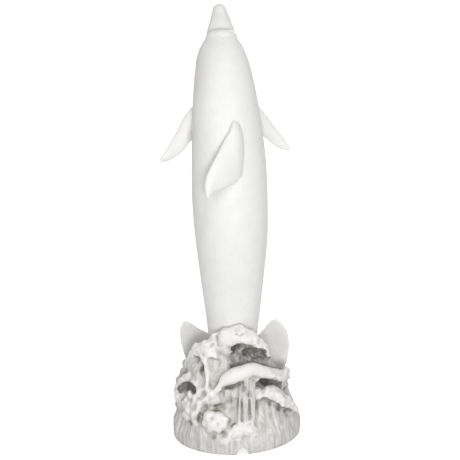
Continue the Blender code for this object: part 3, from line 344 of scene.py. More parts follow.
# How far the skin of the waves grows and shrinks back, which fills the creases between the lumps
CREASE_FILL = 0.004

# Streaks in the falling water: width, length, depth, then the seed of their noise
STREAKS = [
    (0.0150, 0.110, 0.0040, 3.1),
    (0.0065, 0.080, 0.0018, 7.7),
    (0.0034, 0.060, 0.0007, 12.3),
]
# Knobs in the foam, and unevenness everywhere: size, depth, seed
KNOBS = [
    (0.0140, 0.0026, 4.0),
    (0.0062, 0.0013, 9.0),
]
GRAINS = [
    (0.0160, 0.0012, 1.5),
    (0.0050, 0.0004, 6.5),
]
# Every lump of foam is noted here while it is made
FROTH = []
FROTH_MARGIN = 0.004
# How soon a face counts as facing outwards, and the heights below which the rim stays plain
FACING_GAIN = 1.6
STREAK_START = 0.012
GRAIN_START = 0.006
# Grooves and ridges, one by one: width, height over the surface, then bearing and height along it
STROKES = [
    (0.0022, -0.005, [(8, 0.162), (6, 0.125), (5, 0.078)]),
    (0.0022, -0.005, [(16, 0.168), (13, 0.123), (12, 0.080)]),
    (0.0040, -0.006, [(-13, 0.150), (-3, 0.153), (5, 0.160)]),
    (0.0050, -0.008, [(24, 0.146), (33, 0.152), (44, 0.148), (52, 0.138)]),
    (0.0040, 0.005, [(4, 0.238), (8, 0.220), (11, 0.205)]),
    (0.0036, -0.004, [(-24, 0.276), (-25, 0.258), (-22, 0.240)]),
    (0.0022, -0.004, [(4, 0.267), (10, 0.262), (15, 0.267)]),
    (0.0025, -0.003, [(18, 0.236), (21, 0.215), (23, 0.200)]),
    (0.0025, -0.003, [(30, 0.236), (34, 0.215), (36, 0.200)]),
    (0.0025, -0.003, [(42, 0.232), (46, 0.212), (49, 0.198)]),
]

# Dark hollows under the foam: x, y, z, then half width, depth and height
PITS = metres([
    (41, -83, 215, 38.2, 32, 13.9), (9, -92, 214, 21.4, 26, 10.3), (63, -76, 203, 15.8, 28, 9.5),
    (-11, -95, 207, 11.2, 18, 6.7), (-105, -79, 143, 20.3, 24, 9), (-121, -59, 130, 11.2, 18, 8.1),
    (-5, -130, 153, 19.1, 10, 2.9), (71, -107, 152, 13.5, 16, 4.5), (56, -113, 152, 8.1, 12, 8.1),
    (-72, -83, 188, 6, 12, 9), (141, -62, 49, 6.7, 12, 3.6),
])

# Where the wash was left thick and where shade is painted into the colour: x, y, z, radius
WASH_AND_SHADE_POOLS = metres([
    (6, -72, 203, 10), (34, -58, 209, 12), (56, -54, 205, 12), (72, -51, 198, 8), (25, -76, 196, 6),
    (48, -67, 196, 8), (-72, -58, 187, 8), (-76, -70, 176, 4), (-113, -46, 131, 10), (-101, -66, 130, 10),
    (-92, -80, 140, 6), (66, -90, 146, 8), (8, -138, 44, 6), (-2, -134, 30, 8), (-75, -100, 75, 10),
    (-88, -90, 95, 10), (-68, -104, 55, 10), (-90, -76, 60, 12), (78, -90, 146, 6), (18, -124, 147, 3),
    (-8, -118, 150, 3), (79, -104, 104, 3), (74, -104, 112, 4), (95, -94, 88, 4), (112, -80, 76, 3),
    (60, -100, 140, 4), (30, -128, 135, 2), (-105, -100, 62, 2), (-52, -140, 42, 2), (-62, -104, 145, 1),
    (-67, -118, 106, 2), (-86, -118, 78, 2), (-15, -106, 118, 12), (-12, -110, 95, 12), (20, -117, 112, 12),
    (16, -117, 86, 12), (-40, -86, 166, 8),
])
# The same on the dolphin, as painted shade: the beak, the back of the head, the tail stock and the flukes
BODY_SHADE_SPOTS = metres([
    (0, 85, 990, 20), (-60, 10, 860, 20), (0, 0, 200, 60), (-120, 40, 190, 50), (120, 40, 150, 30),
])
FOAM_FADE = 0.007
# How the hollows and the painted shade are measured: rounds of smoothing for small and large ones, then the
# rays that look for shelter and their reach, and the spots with thick wash and painted shade
BODY_WASH_AND_SHADE = {"fine": 6, "wide": 40, "rays": 10, "reach": 0.05, "shade_and_wash_spots": BODY_SHADE_SPOTS, "fade": 0.10}
WAVE_WASH_AND_SHADE = {"fine": 4, "wide": 60, "rays": 16, "reach": 0.03, "shade_and_wash_spots": WASH_AND_SHADE_POOLS, "fade": 0.016}
EVEN_SHARE = 0.5
SHELTER_ROUNDS = 2
SKIN_GAP = 0.0004
# A direction that hardly any face points in
ODD_WAY = np.array([0.36, 0.48, 0.8])
# Grooves in the dolphin's skin, the blowhole and both halves of the mouth: width, depth, then
# their way as x, y, z
GROOVES = [
    (0.0014, 0.0014, metres([(0, 3, 927.5), (8, 3, 932.5), (16, 5, 932), (22, 9, 929)])),
    (0.0013, 0.0018, metres([(46, 56, 893), (40, 56, 908), (34.5, 58, 922), (30, 66, 944)])),
    (0.0013, 0.0018, metres([(30, 66, 944), (23.5, 74.5, 965), (16.5, 81, 983), (0, 88, 1001)])),
    (0.0013, 0.0018, metres([(-44, 56, 893), (-38, 56, 908), (-32.5, 58, 922), (-28, 66, 944)])),
    (0.0013, 0.0018, metres([(-28, 66, 944), (-21.5, 74.5, 965), (-16.5, 81, 983), (0, 88, 1001)])),
]

# The eyes, their lids, and the brow over the left one
EYE = (0.0520, 0.044, 0.868)
EYE_RADIUS = 0.0074
LID_RADIUS = 0.0088
LID_WIDTH = 0.0016
LID_RISE = 0.0016
BROW = (-0.0465, 0.018, 0.874)
BROW_RADIUS = 0.0125

# The end of the beak, where the water leaves
TUBE_END = metres([
    (1, 52, 922), (1, 61, 944), (1, 73, 964), (0, 92, 984),
])
OUTLET_RADIUS = 0.0082
OUTLET_DEPTH = 0.007
BORE_OVERRUN = 0.02

# The way for the hose under the rim
NOTCH_WIDTH = 0.026
NOTCH_HEIGHT = 0.018
NOTCH_SIDE = 0.011
NOTCH_STEPS = 13
NOTCH_REACH = (1.3, 0.7)

# The water tube's way and its bore in the head
TUBE_RADIUS = 0.006
TUBE_FOOT = 0.080
TUBE_STRAIGHT = 0.080
TUBE_POINTS = 30
TUBE_FIRST_ROW = 2
CLEARANCE = 0.0003
BORE_START = 0.862

# Colours and the hollows' reach in the stone's wash and painted shade: small and large hollows in mm, then
# shelter.
# The deep colour is painted shade where the stone is sheltered and in the pools.
BODY_COAT = {
    "clean": (0.86, 0.86, 0.845), "wash_and_shade_tone": (0.46, 0.44, 0.41), "deep": (0.30, 0.28, 0.25),
    "small": (0.25, 1.2), "large": (2.0, 8.0), "shut": (0.15, 0.7), "face": (0.0, 0.08),
    "pool_wash_and_shade": 0.46, "pool_shade_depth": 0.0, "deep_at": (0.5, 1.0), "weights": (0.7, 0.6),
    "amount": 0.6, "rough": 0.45,
}
WAVE_COAT = {
    "clean": (0.85, 0.84, 0.82), "wash_and_shade_tone": (0.25, 0.235, 0.21), "deep": (0.07, 0.064, 0.056),
    "small": (0.0, 0.4), "large": (-0.4, 1.4), "shut": (0.01, 0.26), "face": (0.22, 0.66),
    "pool_wash_and_shade": 1.0, "pool_shade_depth": 0.45, "deep_at": (0.15, 0.42), "weights": (0.75, 0.6),
    "amount": 0.95, "rough": 0.55,
}
# How the streaks of thin wash are stretched, and the tint that clouds the clean stone
STREAK_STRETCH = (1.0, 1.0, 0.14)
CLOUD_TINT = (0.965, 0.96, 0.95)
# The levels of a noise that are spread over its whole range
MIDDLE_BAND = (0.3, 0.7)

# The camera, fitted to the photo: the focal length, the middle and the side are in its pixels
CAMERA_PLACE = (0.0, -3.0, 1.1516)
CAMERA_AIM = (0.0, 0.0, 0.48)
CAMERA_ROLL = math.radians(2.4)
CAMERA_REACH = 100.0
PHOTO_FOCAL = 1335
PHOTO_MIDDLE = (228.72, 234.04)
PHOTO_SIDE = 460
SENSOR = 36.0
# Lamps: name, place, aim, watts, size
LAMPS = [
    ("key", (1.6, -5.0, 7.0), (0.0, 0.0, 0.4), 76.0, 2.2),
    ("front", (0.4, -4.6, 0.5), (0.0, 0.0, 0.5), 112.0, 1.6),
    ("fill", (-1.6, -4.6, 1.6), (0.0, 0.0, 0.5), 22.0, 1.6),
    ("back", (0.8, 4.8, 2.0), (0.0, 0.0, 0.5), 110.0, 1.8),
]
WORLD_LIGHT = 0.52
FLOOR_RADIUS = 30.0
FLOOR_GREY = 0.5
FLOOR_GLOW = 0.8

UP = np.array([0.0, 0.0, 1.0])
LEVEL = np.array([1.0, 1.0, 0.0])


def collection(name):
    made = bpy.data.collections.new(name)
    bpy.context.scene.collection.children.link(made)
    return made


def with_settings(made, **settings):
    """The thing made, with each named setting set on it."""
    for name, value in settings.items():
        setattr(made, name, value)
    return made


def modified(item, name, kind, **settings):
    with_settings(item.modifiers.new(name, kind), **settings)


def placed(name, data, group):
    """A new object of the mesh, curve, lamp or camera."""
    made = bpy.data.objects.new(name, data)
    group.objects.link(made)
    return made


def shaped(name, shape, group):
    """A new object of the bmesh, which is freed."""
    mesh = bpy.data.meshes.new(name)
    shape.to_mesh(mesh)
    shape.free()
    return placed(name, mesh, group)


def numbers(mesh, what, width):
    values = np.empty(len(mesh.vertices) * width)
    mesh.vertices.foreach_get(what, values)
    return values.reshape(-1, width)


def moved(mesh, places):
    mesh.vertices.foreach_set("co", places.ravel())
    mesh.update()


def through(rows, count):
    """Rows read off the smooth curve through the given ones, evenly along its length."""
    rows = np.array(rows, float)
    steps = np.linalg.norm(np.diff(rows[:, :3], axis=0), axis=1)
    reach = np.concatenate([[0.0], np.cumsum(steps)])
    slopes = np.gradient(rows, reach, axis=0)
    at = np.linspace(0.0, reach[-1], count)
    cell = np.clip(np.searchsorted(reach, at, side="right") - 1, 0, len(rows) - 2)
    span = (reach[cell + 1] - reach[cell])[:, None]
    t = (at - reach[cell])[:, None] / span
    start = (2 * t**3 - 3 * t**2 + 1) * rows[cell] + (t**3 - 2 * t**2 + t) * slopes[cell] * span
    end = (3 * t**2 - 2 * t**3) * rows[cell + 1] + (t**3 - t**2) * slopes[cell + 1] * span
    return start + end


def unit(vectors):
    return vectors / np.linalg.norm(vectors, axis=-1, keepdims=True)


def loft(name, rings, group):
    """A closed skin over rings of equally many points, with a flat face at each end."""
    sides = len(rings[0])
    faces = [tuple(range(sides))[::-1]]
    for ring in range(len(rings) - 1):
        low, high = ring * sides, (ring + 1) * sides
        for i in range(sides):
            j = (i + 1) % sides
            faces.append((low + i, low + j, high + j, high + i))
    last = (len(rings) - 1) * sides
    faces.append(tuple(range(last, last + sides)))
    mesh = bpy.data.meshes.new(name)
    mesh.from_pydata(np.concatenate(rings).tolist(), [], faces)
    shape = bmesh.new()
    shape.from_mesh(mesh)
    bmesh.ops.recalc_face_normals(shape, faces=shape.faces)
    shape.to_mesh(mesh)
    shape.free()
    return placed(name, mesh, group)


def trunk(name, rows, nose, group, inset=0.0):
    """A body of oval sections square to its own axis, rounded off at its last row by nose."""
    rows = through(rows, STEPS_PER_ROW * len(rows))
    along = unit(np.gradient(rows[:, :3], axis=0))
    across = unit(np.array([1.0, 0.0, 0.0]) - along * along[:, :1])
    front = np.cross(along, across)
    turn = np.linspace(0.0, 2 * math.pi, RING_SIDES, endpoint=False)
    rings = []

    def ring(i, shrink, lift):
        depth = np.where(np.sin(turn) > 0, rows[i, 5], rows[i, 4]) - inset
        wide = (rows[i, 3] - inset) * np.cos(turn)[:, None] * across[i]
        deep = (depth * np.sin(turn))[:, None] * front[i]
        return rows[i, :3] + along[i] * lift + (wide + deep) * shrink

    for i in range(len(rows)):
        rings.append(ring(i, 1.0, 0.0))
    for angle in np.linspace(0.0, math.pi / 2, NOSE_STEPS)[1:]:
        shrink = max(math.cos(angle), NOSE_TIP)
        rings.append(ring(len(rows) - 1, shrink, (nose - inset) * math.sin(angle)))
    return loft(name, rings, group)


def blade(name, lead, trail, thick, group):
    """A fin between its leading and trailing edges, thickest near the front of its chord."""
    count = STEPS_PER_ROW * len(lead)
    lead = through(lead, count)
    trail = through(trail, count)
    chord = trail - lead
    span = np.gradient((lead + trail) / 2, axis=0)
    normal = unit(np.cross(chord, span))
    depth = np.interp(np.linspace(0, 1, count), np.linspace(0, 1, len(thick)), thick) / 2
    half = BLADE_SIDES // 2
    across = (1 - np.cos(np.linspace(0, math.pi, half + 1))) / 2
    swell = np.sin(np.pi * across**BLADE_FRONT) ** BLADE_FULLNESS
    rim = BLADE_EDGE * np.sqrt(1 - np.abs(2 * across - 1) ** BLADE_RIM)
    rings = []
    for i in range(count):
        bulge = np.maximum(swell * depth[i], rim)[:, None] * normal[i]
        upper = lead[i] + across[:, None] * chord[i] + bulge
        lower = lead[i] + across[:, None] * chord[i] - bulge
        rings.append(np.concatenate([upper, lower[-2:0:-1]]))
    return loft(name, rings, group)


def wave(name, rows, group):
    """A breaker: its section, sized by the lip's drop, swept along the crest and facing outwards."""
    rows = through(rows, WAVE_STEPS_PER_ROW * len(rows))
    back = np.array(WAVE_BACK)
    face = np.array(WAVE_FACE)
    rings = []
    for row, out in zip(rows, outwards(rows)):
        drop, hollow = row[3], np.clip(row[HOLLOW], 0.0, 1.0)
        below = np.column_stack([face[:, 0] - hollow * face[:, 2], face[:, 1]])
        section = np.concatenate([back, below]) * drop
        rings.append(row[:3] + section[:, :1] * out + section[:, 1:] * UP)
    return loft(name, rings, group)


def outwards(rows):
    """Level directions square to a crest, away from the middle of the base."""
    along = unit(np.gradient(rows[:, :3], axis=0) * LEVEL)
    side = np.stack([along[:, 1], -along[:, 0], np.zeros(len(along))], axis=1)
    return side * np.where((side * rows[:, :3]).sum(axis=1, keepdims=True) < 0, -1.0, 1.0)


def roll(name, rows, group):
    """A round, tapering roll of water along its middle line."""
    rows = through(rows, STEPS_PER_ROW * len(rows))
    along = unit(np.gradient(rows[:, :3], axis=0))
    side = unit(np.cross(along, UP))
    top = np.cross(side, along)
    turn = np.linspace(0.0, 2 * math.pi, ROLL_SIDES, endpoint=False)[:, None]
    rings = []
    for i in range(len(rows)):
        rings.append(rows[i, :3] + rows[i, 3] * (np.cos(turn) * side[i] + np.sin(turn) * top[i]))
    return loft(name, rings, group)


def lumps(name, rows, group):
    """Round lumps of foam: x, y, z, radius."""
    shape = bmesh.new()
    for x, y, z, radius in rows:
        place = Matrix.Translation((x, y, z))
        bmesh.ops.create_icosphere(shape, subdivisions=2, radius=radius, matrix=place)
    return shaped(name, shape, group)


def foam(name, rows, luck, group):
    """Small lumps over a crest, its front and its lip, in loose rows."""
    rows = through(rows, FOAM_STEPS)
    spots = []
    due = 0.0
    for before, row, out in zip(rows, rows[1:], outwards(rows)[1:]):
        due -= np.linalg.norm(row[:3] - before[:3])
        if due > 0:
            continue
        drop, radius = row[3], row[5]
        due = radius * FOAM_PITCH
        for share_out, share_up in FOAM_ROWS:
            drift = luck.uniform(-1, 1, 3) * radius * FOAM_SPREAD
            centre = row[:3] + drop * (share_out * out + share_up * UP) + drift
            spots.append((*centre, radius * luck.uniform(*FOAM_SIZES)))
    FROTH.extend(spots)
    return lumps(name, spots, group)


def turned(name, profile, group, steps):
    """A profile of (radius, height) turned about Z. It runs down its outer side."""
    mesh = bpy.data.meshes.new(name)
    points = [(radius, 0.0, height) for radius, height in profile]
    edges = [(i, i + 1) for i in range(len(points) - 1)]
    mesh.from_pydata(points, edges, [])
    made = placed(name, mesh, group)
    merged = {"use_merge_vertices": True, "merge_threshold": MERGE}
    modified(made, "turn", "SCREW", steps=steps, render_steps=steps, **merged)
    return made


def pipe(name, points, radius, group):
    """A round pipe along the points, as a curve with a bevel and closed ends."""
    curve = bpy.data.curves.new(name, "CURVE")
    bevel = {"bevel_depth": radius, "bevel_resolution": PIPE_SMOOTHNESS}
    with_settings(curve, dimensions="3D", use_fill_caps=True, **bevel)
    spline = curve.splines.new("POLY")
    spline.points.add(len(points) - 1)
    for point, place in zip(spline.points, points):
        point.co = (*place, 1.0)
    return placed(name, curve, group)


def as_mesh(item):
    """The evaluated item as a plain mesh object of the same name, with its seams welded."""
    bpy.context.view_layer.update()
    evaluated = item.evaluated_get(bpy.context.evaluated_depsgraph_get())
    mesh = bpy.data.meshes.new_from_object(evaluated)
    shape = bmesh.new()
    shape.from_mesh(mesh)
    bmesh.ops.remove_doubles(shape, verts=shape.verts, dist=MERGE)
    shape.to_mesh(mesh)
    shape.free()
    name, group, place = item.name, item.users_collection[0], item.matrix_world.copy()
    bpy.data.objects.remove(item)
    made = placed(name, mesh, group)
    made.matrix_world = place
    return made


def joined(name, items, group):
    """All the meshes of the items in one object, each still a closed shape of its own."""
    shape = bmesh.new()
    for item in [as_mesh(item) for item in items]:
        item.data.transform(item.matrix_world)
        shape.from_mesh(item.data)
        bpy.data.objects.remove(item)
    return shaped(name, shape, group)


def outer_skin(item):
    """Leaves the largest closed skin only, so that a pocket shut in between the waves is filled."""
    shape = bmesh.new()
    shape.from_mesh(item.data)
    left = set(shape.verts)
    skins = []
    while left:
        reached = [left.pop()]
        skin = []
        while reached:
            vertex = reached.pop()
            skin.append(vertex)
            for edge in vertex.link_edges:
                other = edge.other_vert(vertex)
                if other in left:
                    left.remove(other)
                    reached.append(other)
        skins.append(skin)
    skins.sort(key=len)
    spare = [vertex for skin in skins[:-1] for vertex in skin]
    bmesh.ops.delete(shape, geom=spare, context="VERTS")
    shape.to_mesh(item.data)
    shape.free()


def cut_by(item, other):
    with_settings(other, hide_render=True, display_type="WIRE")
    how = {"operation": "DIFFERENCE", "object": other, "solver": "EXACT"}
    modified(item, other.name, "BOOLEAN", **how)


def fused(name, shapes, group, smoothing):
    """The shapes as one skin, with its inner corners rounded by a few rounds of smoothing."""
    made = joined(name, shapes, group)
    modified(made, "fuse", "REMESH", mode="VOXEL", voxel_size=SKIN_GRAIN)
    modified(made, "soften", "SMOOTH", factor=0.5, iterations=smoothing)
    made = as_mesh(made)
    outer_skin(made)
    return made


def thinned(item, count):
    """The item with about so many triangles, spent where the form turns most."""
    faces = sum(len(face.vertices) - 2 for face in item.data.polygons)
    modified(item, "thin", "DECIMATE", ratio=count / faces)
    return as_mesh(item)


def kept_in_box(item):
    moved(item.data, np.clip(numbers(item.data, "co", 3), np.array(BOX_LOW), np.array(BOX_HIGH)))
    return item


def dolphin_shapes(group):
    return [
        trunk("body", BODY, FOREHEAD_ROUND, group),
        trunk("beak", BEAK, BEAK_ROUND, group),
        blade("dorsal_fin", FIN_LEAD, FIN_TRAIL, FIN_THICK, group),
        blade("left_flipper", LEFT_LEAD, LEFT_TRAIL, FLIPPER_THICK, group),
        blade("right_flipper", RIGHT_LEAD, RIGHT_TRAIL, FLIPPER_THICK, group),
        blade("left_fluke", LEFT_FLUKE_LEAD, LEFT_FLUKE_TRAIL, FLUKE_THICK, group),
        blade("right_fluke", RIGHT_FLUKE_LEAD, RIGHT_FLUKE_TRAIL, FLUKE_THICK, group),
        lumps("brow", [(*BROW, BROW_RADIUS)], group),
        lumps("eyes", [(side * EYE[0], EYE[1], EYE[2], EYE_RADIUS) for side in (-1, 1)], group),
    ]


def base_shapes(group):
    luck = np.random.default_rng(FOAM_SEED)
    FROTH.extend(LUMPS)
    top = [(0.0, CORE[-1][1] + CORE_CROWN)]
    core = turned("core", top + CORE[::-1] + [(0.0, 0.0)], group, CORE_STEPS)
    core.scale.y = FRONT_STRETCH
    shapes = [core, lumps("lumps", LUMPS, group)]
    for name, rows in ROLLS.items():
        shapes.append(roll(name, rows, group))
    for name, rows in WAVES.items():
        shapes.append(wave(name + "_wave", rows, group))
        shapes.append(foam(name + "_foam", rows, luck, group))
    return shapes


def pits(group):
    shape = bmesh.new()
    for x, y, z, wide, deep, high in PITS:
        turn = Matrix.Rotation(math.atan2(x, -y), 4, "Z")
        place = Matrix.Translation((x, y, z)) @ turn @ Matrix.Diagonal((wide, deep, high, 1.0))
        bmesh.ops.create_icosphere(shape, subdivisions=3, radius=1.0, matrix=place)
    made = shaped("pits", shape, group)
    modified(made, "fuse", "REMESH", mode="VOXEL", voxel_size=PIT_GRAIN)
    return as_mesh(made)


def creases_filled(item, group):
    """The skin grown, fused and shrunk back, which fills the creases between the lumps."""
    for step in (CREASE_FILL, -CREASE_FILL):
        mesh = item.data
        moved(mesh, numbers(mesh, "co", 3) + numbers(mesh, "normal", 3) * step)
        item = fused(item.name, [item], group, WAVE_ROUNDS)
    return item


def carve(item):
    """Works streaks, grooves and ridges into the faces of the base, and knobs into its foam."""
    mesh = item.data
    count = len(mesh.vertices)
    places = numbers(mesh, "co", 3)
    normals = numbers(mesh, "normal", 3)
    radial = unit(places * LEVEL + 1e-9)
    facing = np.clip((normals * radial).sum(axis=1) * FACING_GAIN, 0.0, 1.0)
    bearing = np.arctan2(places[:, 0], -places[:, 1])
    height = places[:, 2]
    along = bearing * BASE_RADIUS
    frothy = near_to(places, FROTH, FROTH_MARGIN)
    calm = near_to(places, through(ROLLS["middle_tongue"], TONGUE_STEPS), FROTH_MARGIN)
    unrolled = np.stack([along, height], axis=1)
    shift = np.zeros(count)
    for width, rise, line in STROKES:
        line = [(math.radians(angle) * BASE_RADIUS, level) for angle, level in line]
        shift += rise * np.exp(-(off_line(unrolled, line) / width) ** 2)
    streaks = np.zeros(count)
    for pitch, length, depth, seed in STREAKS:
        flow = np.stack([along / pitch, height / length, np.full(count, seed)], axis=1)
        streaks += depth * sampled(noise.noise, flow)
    low = np.clip(height / STREAK_START, 0.0, 1.0)
    shift += streaks * (1 - frothy) * (1 - calm) * low
    places = places + radial * (shift * facing)[:, None]
    knobs = np.zeros(count)
    for size, depth, seed in KNOBS:
        cells = places / size + seed
        knobs += depth * (0.5 - np.minimum(sampled(nearest_cell, cells), 1.0))
    grain = np.zeros(count)
    for size, depth, seed in GRAINS:
        grain += depth * sampled(noise.noise, places / size + seed)
    lift = (knobs * frothy + grain) * np.clip(height / GRAIN_START, 0.0, 1.0)
    moved(mesh, places + normals * lift[:, None])


def engrave(item):
    """Works the grooves into the skin, and a lid around each eye."""
    mesh = item.data
    places = numbers(mesh, "co", 3)
    shift = np.zeros(len(places))
    for width, depth, line in GROOVES:
        shift -= depth * np.exp(-(off_line(places, line) / width) ** 2)
    for side in (-1, 1):
        off_eye = np.linalg.norm(places - (side * EYE[0], EYE[1], EYE[2]), axis=1)
        shift += LID_RISE * np.exp(-((off_eye - LID_RADIUS) / LID_WIDTH) ** 2)
    moved(mesh, places + numbers(mesh, "normal", 3) * shift[:, None])


def sampled(what, points):
    return np.array([what(point) for point in points.tolist()])


def nearest_cell(point):
    return noise.voronoi(point)[0][0]


def near_to(places, spots, margin):
    """1 on the balls at the spots (x, y, z, radius), falling to 0 over the margin around them."""
    near = np.full(len(places), 1.0)
    for x, y, z, radius in spots:
        near = np.minimum(near, np.linalg.norm(places - (x, y, z), axis=1) - radius)
    share = np.clip(1.0 - near / margin, 0.0, 1.0)
    return share * share * (3 - 2 * share)


def off_line(places, line):
    """The distance of each place from a line of straight pieces."""
    nearest = np.full(len(places), 1e9)
    for start, end in zip(np.array(line), np.array(line)[1:]):
        span = end - start
        share = np.clip(((places - start) * span).sum(axis=1) / (span * span).sum(), 0.0, 1.0)
        gap = np.linalg.norm(places - start - share[:, None] * span, axis=1)
        nearest = np.minimum(nearest, gap)
    return nearest


def tube_line():
    """The tube's way: straight up from the base, along the body's axis and out of the beak."""
    lowest = BODY[TUBE_FIRST_ROW][2]
    body = [row[:3] for row in BODY if lowest <= row[2] < BORE_START]
    foot = (body[0][0], body[0][1], TUBE_FOOT)
    straight = (body[0][0], body[0][1], TUBE_FOOT + TUBE_STRAIGHT)
    return [foot, straight, *body, *TUBE_END]


def hollow_cutters(group):
    line = through(tube_line(), TUBE_POINTS)
    bore = [point for point in line if point[2] > BORE_START]
    bore.append(bore[-1] + unit(bore[-1] - bore[-2]) * BORE_OVERRUN)
    outlet_end = bore[-1]
    outlet_axis = unit(bore[-1] - bore[-2])
    outlet = [outlet_end - outlet_axis * (BORE_OVERRUN + OUTLET_DEPTH), outlet_end]
    return [
        as_mesh(pipe("bore_cutter", bore, TUBE_RADIUS + CLEARANCE, group)),
        as_mesh(pipe("outlet_cutter", outlet, OUTLET_RADIUS, group)),
        trunk("body_cutter", BODY[:-1], FOREHEAD_ROUND, group, WALL),
        base_cavity(group),
        notch_cutter(group),
        floor_cutter(group),
    ]


def base_cavity(group):
    inner = [(radius - WALL, height) for radius, height in CORE if height < CAVITY_TOP]
    inner[0] = (inner[0][0], -OVERCUT)
    crown = [(0.0, CAVITY_TOP + CAVITY_CROWN), (CAVITY_FLAT, CAVITY_TOP)]
    made = turned("base_cutter", crown + inner[::-1] + [(0.0, -OVERCUT)], group, CAVITY_STEPS)
    made.scale.y = FRONT_STRETCH
    return made


def notch_cutter(group):
    """An arch through the rim at the back, open at the bottom."""
    half = NOTCH_WIDTH / 2
    rise = np.linspace(0.0, math.pi, NOTCH_STEPS)
    arch = [(NOTCH_SIDE + half * math.cos(a), NOTCH_HEIGHT * math.sin(a)) for a in rise]
    arch = [(NOTCH_SIDE + half, -OVERCUT)] + arch + [(NOTCH_SIDE - half, -OVERCUT)]
    near, far = -BASE_RADIUS * NOTCH_REACH[0], -BASE_RADIUS * NOTCH_REACH[1]
    rings = [np.array([(x, y, z) for x, z in arch]) for y in (near, far)]
    return loft("notch_cutter", rings, group)


def floor_cutter(group):
    side = 3 * BASE_RADIUS
    corners = [(-side, -side), (side, -side), (side, side), (-side, side)]
    rings = [np.array([(x, y, z) for x, y in corners]) for z in (-side, 0.0)]
    return loft("floor_cutter", rings, group)


def finished(skin, group, triangles):
    """The skin hollowed out, with about so many triangles, inside the statue's box."""
    for cutter in hollow_cutters(group):
        cut_by(skin, cutter)
    return kept_in_box(thinned(as_mesh(skin), triangles))


def make_dolphin(group):
    skin = fused("dolphin_skin", dolphin_shapes(group), group, DOLPHIN_ROUNDS)
    engrave(skin)
    return finished(skin, group, DOLPHIN_TRIANGLES)


def make_waves(group):
    waves = fused("wave_skin", base_shapes(group), group, WAVE_ROUNDS)
    waves = creases_filled(waves, group)
    cut_by(waves, pits(group))
    waves = fused("wave_skin", [as_mesh(waves)], group, PIT_ROUNDS)
    carve(waves)
    waves = fused("wave_skin", [waves], group, WAVE_ROUNDS)
    return finished(waves, group, WAVE_TRIANGLES)


def averaged(values, ends, count, rounds):
    """Values evened out with their neighbours', round by round."""
    total = np.bincount(ends.ravel(), minlength=count)[:, None]
    total = np.maximum(total, 1)
    for _ in range(rounds):
        summed = np.empty_like(values)
        for axis in range(values.shape[1]):
            first = np.bincount(ends[:, 0], weights=values[ends[:, 1], axis], minlength=count)
            second = np.bincount(ends[:, 1], weights=values[ends[:, 0], axis], minlength=count)
            summed[:, axis] = first + second
        values = values + EVEN_SHARE * (summed / total - values)
    return values


def shelter(mesh, rays, reach):
    """How much of the open air within reach each point is shut off from, 0 to 1, by casting rays."""
    mesh.update()
    corners = [vertex.co for vertex in mesh.vertices]
    tree = BVHTree.FromPolygons(corners, [tuple(face.vertices) for face in mesh.polygons])
    turn = np.arange(rays) * math.pi * (3 - math.sqrt(5))
    rise = np.sqrt((np.arange(rays) + 0.5) / rays)
    level = np.sqrt(1 - rise**2)
    local = np.stack([level * np.cos(turn), level * np.sin(turn), rise], axis=1)
    normals = numbers(mesh, "normal", 3)
    side = unit(np.cross(normals, ODD_WAY) + 1e-9)
    other = np.cross(normals, side)
    places = numbers(mesh, "co", 3) + normals * SKIN_GAP
    shut = np.zeros(len(corners))
    for i in range(len(corners)):
        towards = local[:, :1] * side[i] + local[:, 1:2] * other[i] + local[:, 2:] * normals[i]
        start = Vector(places[i])
        total = 0.0
        for ray in towards.tolist():
            found = tree.ray_cast(start, ray, reach)[3]
            if found is not None:
                total += 1.0 - 0.5 * found / reach
        shut[i] = total / rays
    return shut


def store_wash_and_shade(item, look, foam_spots):
    """Stores how deep each point lies in a hollow, how sheltered it is and how near the listed spots. The
    wash was wiped off all but the hollows; shelter and the spots give painted shade.
    """
    mesh = item.data
    count = len(mesh.vertices)
    places = numbers(mesh, "co", 3)
    normals = numbers(mesh, "normal", 3)
    ends = np.empty(len(mesh.edges) * 2, dtype=np.int64)
    mesh.edges.foreach_get("vertices", ends)
    ends = ends.reshape(-1, 2)
    near = averaged(places, ends, count, look["fine"])
    far = averaged(near, ends, count, look["wide"])
    # The shelter from the rays gives painted shade, with the wash that gathers there
    shut = shelter(mesh, look["rays"], look["reach"])[:, None]
    stored = {
        "hollow_small": ((near - places) * normals).sum(axis=1) * 1000,
        "hollow_large": ((far - places) * normals).sum(axis=1) * 1000,
        "shelter": averaged(shut, ends, count, SHELTER_ROUNDS)[:, 0],
        "foamy": near_to(places, foam_spots, FOAM_FADE),
        "pooled": near_to(places, look["shade_and_wash_spots"], look["fade"]),
    }
    for name, values in stored.items():
        held = mesh.attributes.new(name, "FLOAT", "POINT")
        held.data.foreach_set("value", values)


def node(tree, kind, inputs=None, **settings):
    made = with_settings(tree.nodes.new("ShaderNode" + kind), **settings)
    fill(tree, made, (inputs or {}).items())
    return made


def fill(tree, made, inputs):
    """Links each value that is another node's output, and sets the others."""
    for slot, value in inputs:
        if hasattr(value, "is_output"):
            tree.links.new(value, made.inputs[slot])
        else:
            made.inputs[slot].default_value = value


def mix(tree, share, first, second):
    made = node(tree, "Mix", data_type="RGBA")
    fill(tree, made, ((0, share), (6, first), (7, second)))
    return made.outputs[2]


def math_node(tree, operation, first, second):
    made = node(tree, "Math", operation=operation)
    fill(tree, made, ((0, first), (1, second)))
    return made.outputs[0]


def spread(tree, value, low, high, start=0.0, end=1.0):
    ends = {"Value": value, "From Min": low, "From Max": high, "To Min": start, "To Max": end}
    made = node(tree, "MapRange", ends, interpolation_type="SMOOTHSTEP")
    return made.outputs["Result"]


def clouds(tree, place, scale, detail, roughness):
    ends = {"Vector": place, "Scale": scale, "Detail": detail, "Roughness": roughness}
    return node(tree, "TexNoise", ends).outputs["Fac"]


def noted(tree, name):
    """A value stored on the mesh for the wash and the painted shade."""
    return node(tree, "Attribute", attribute_name=name).outputs["Fac"]


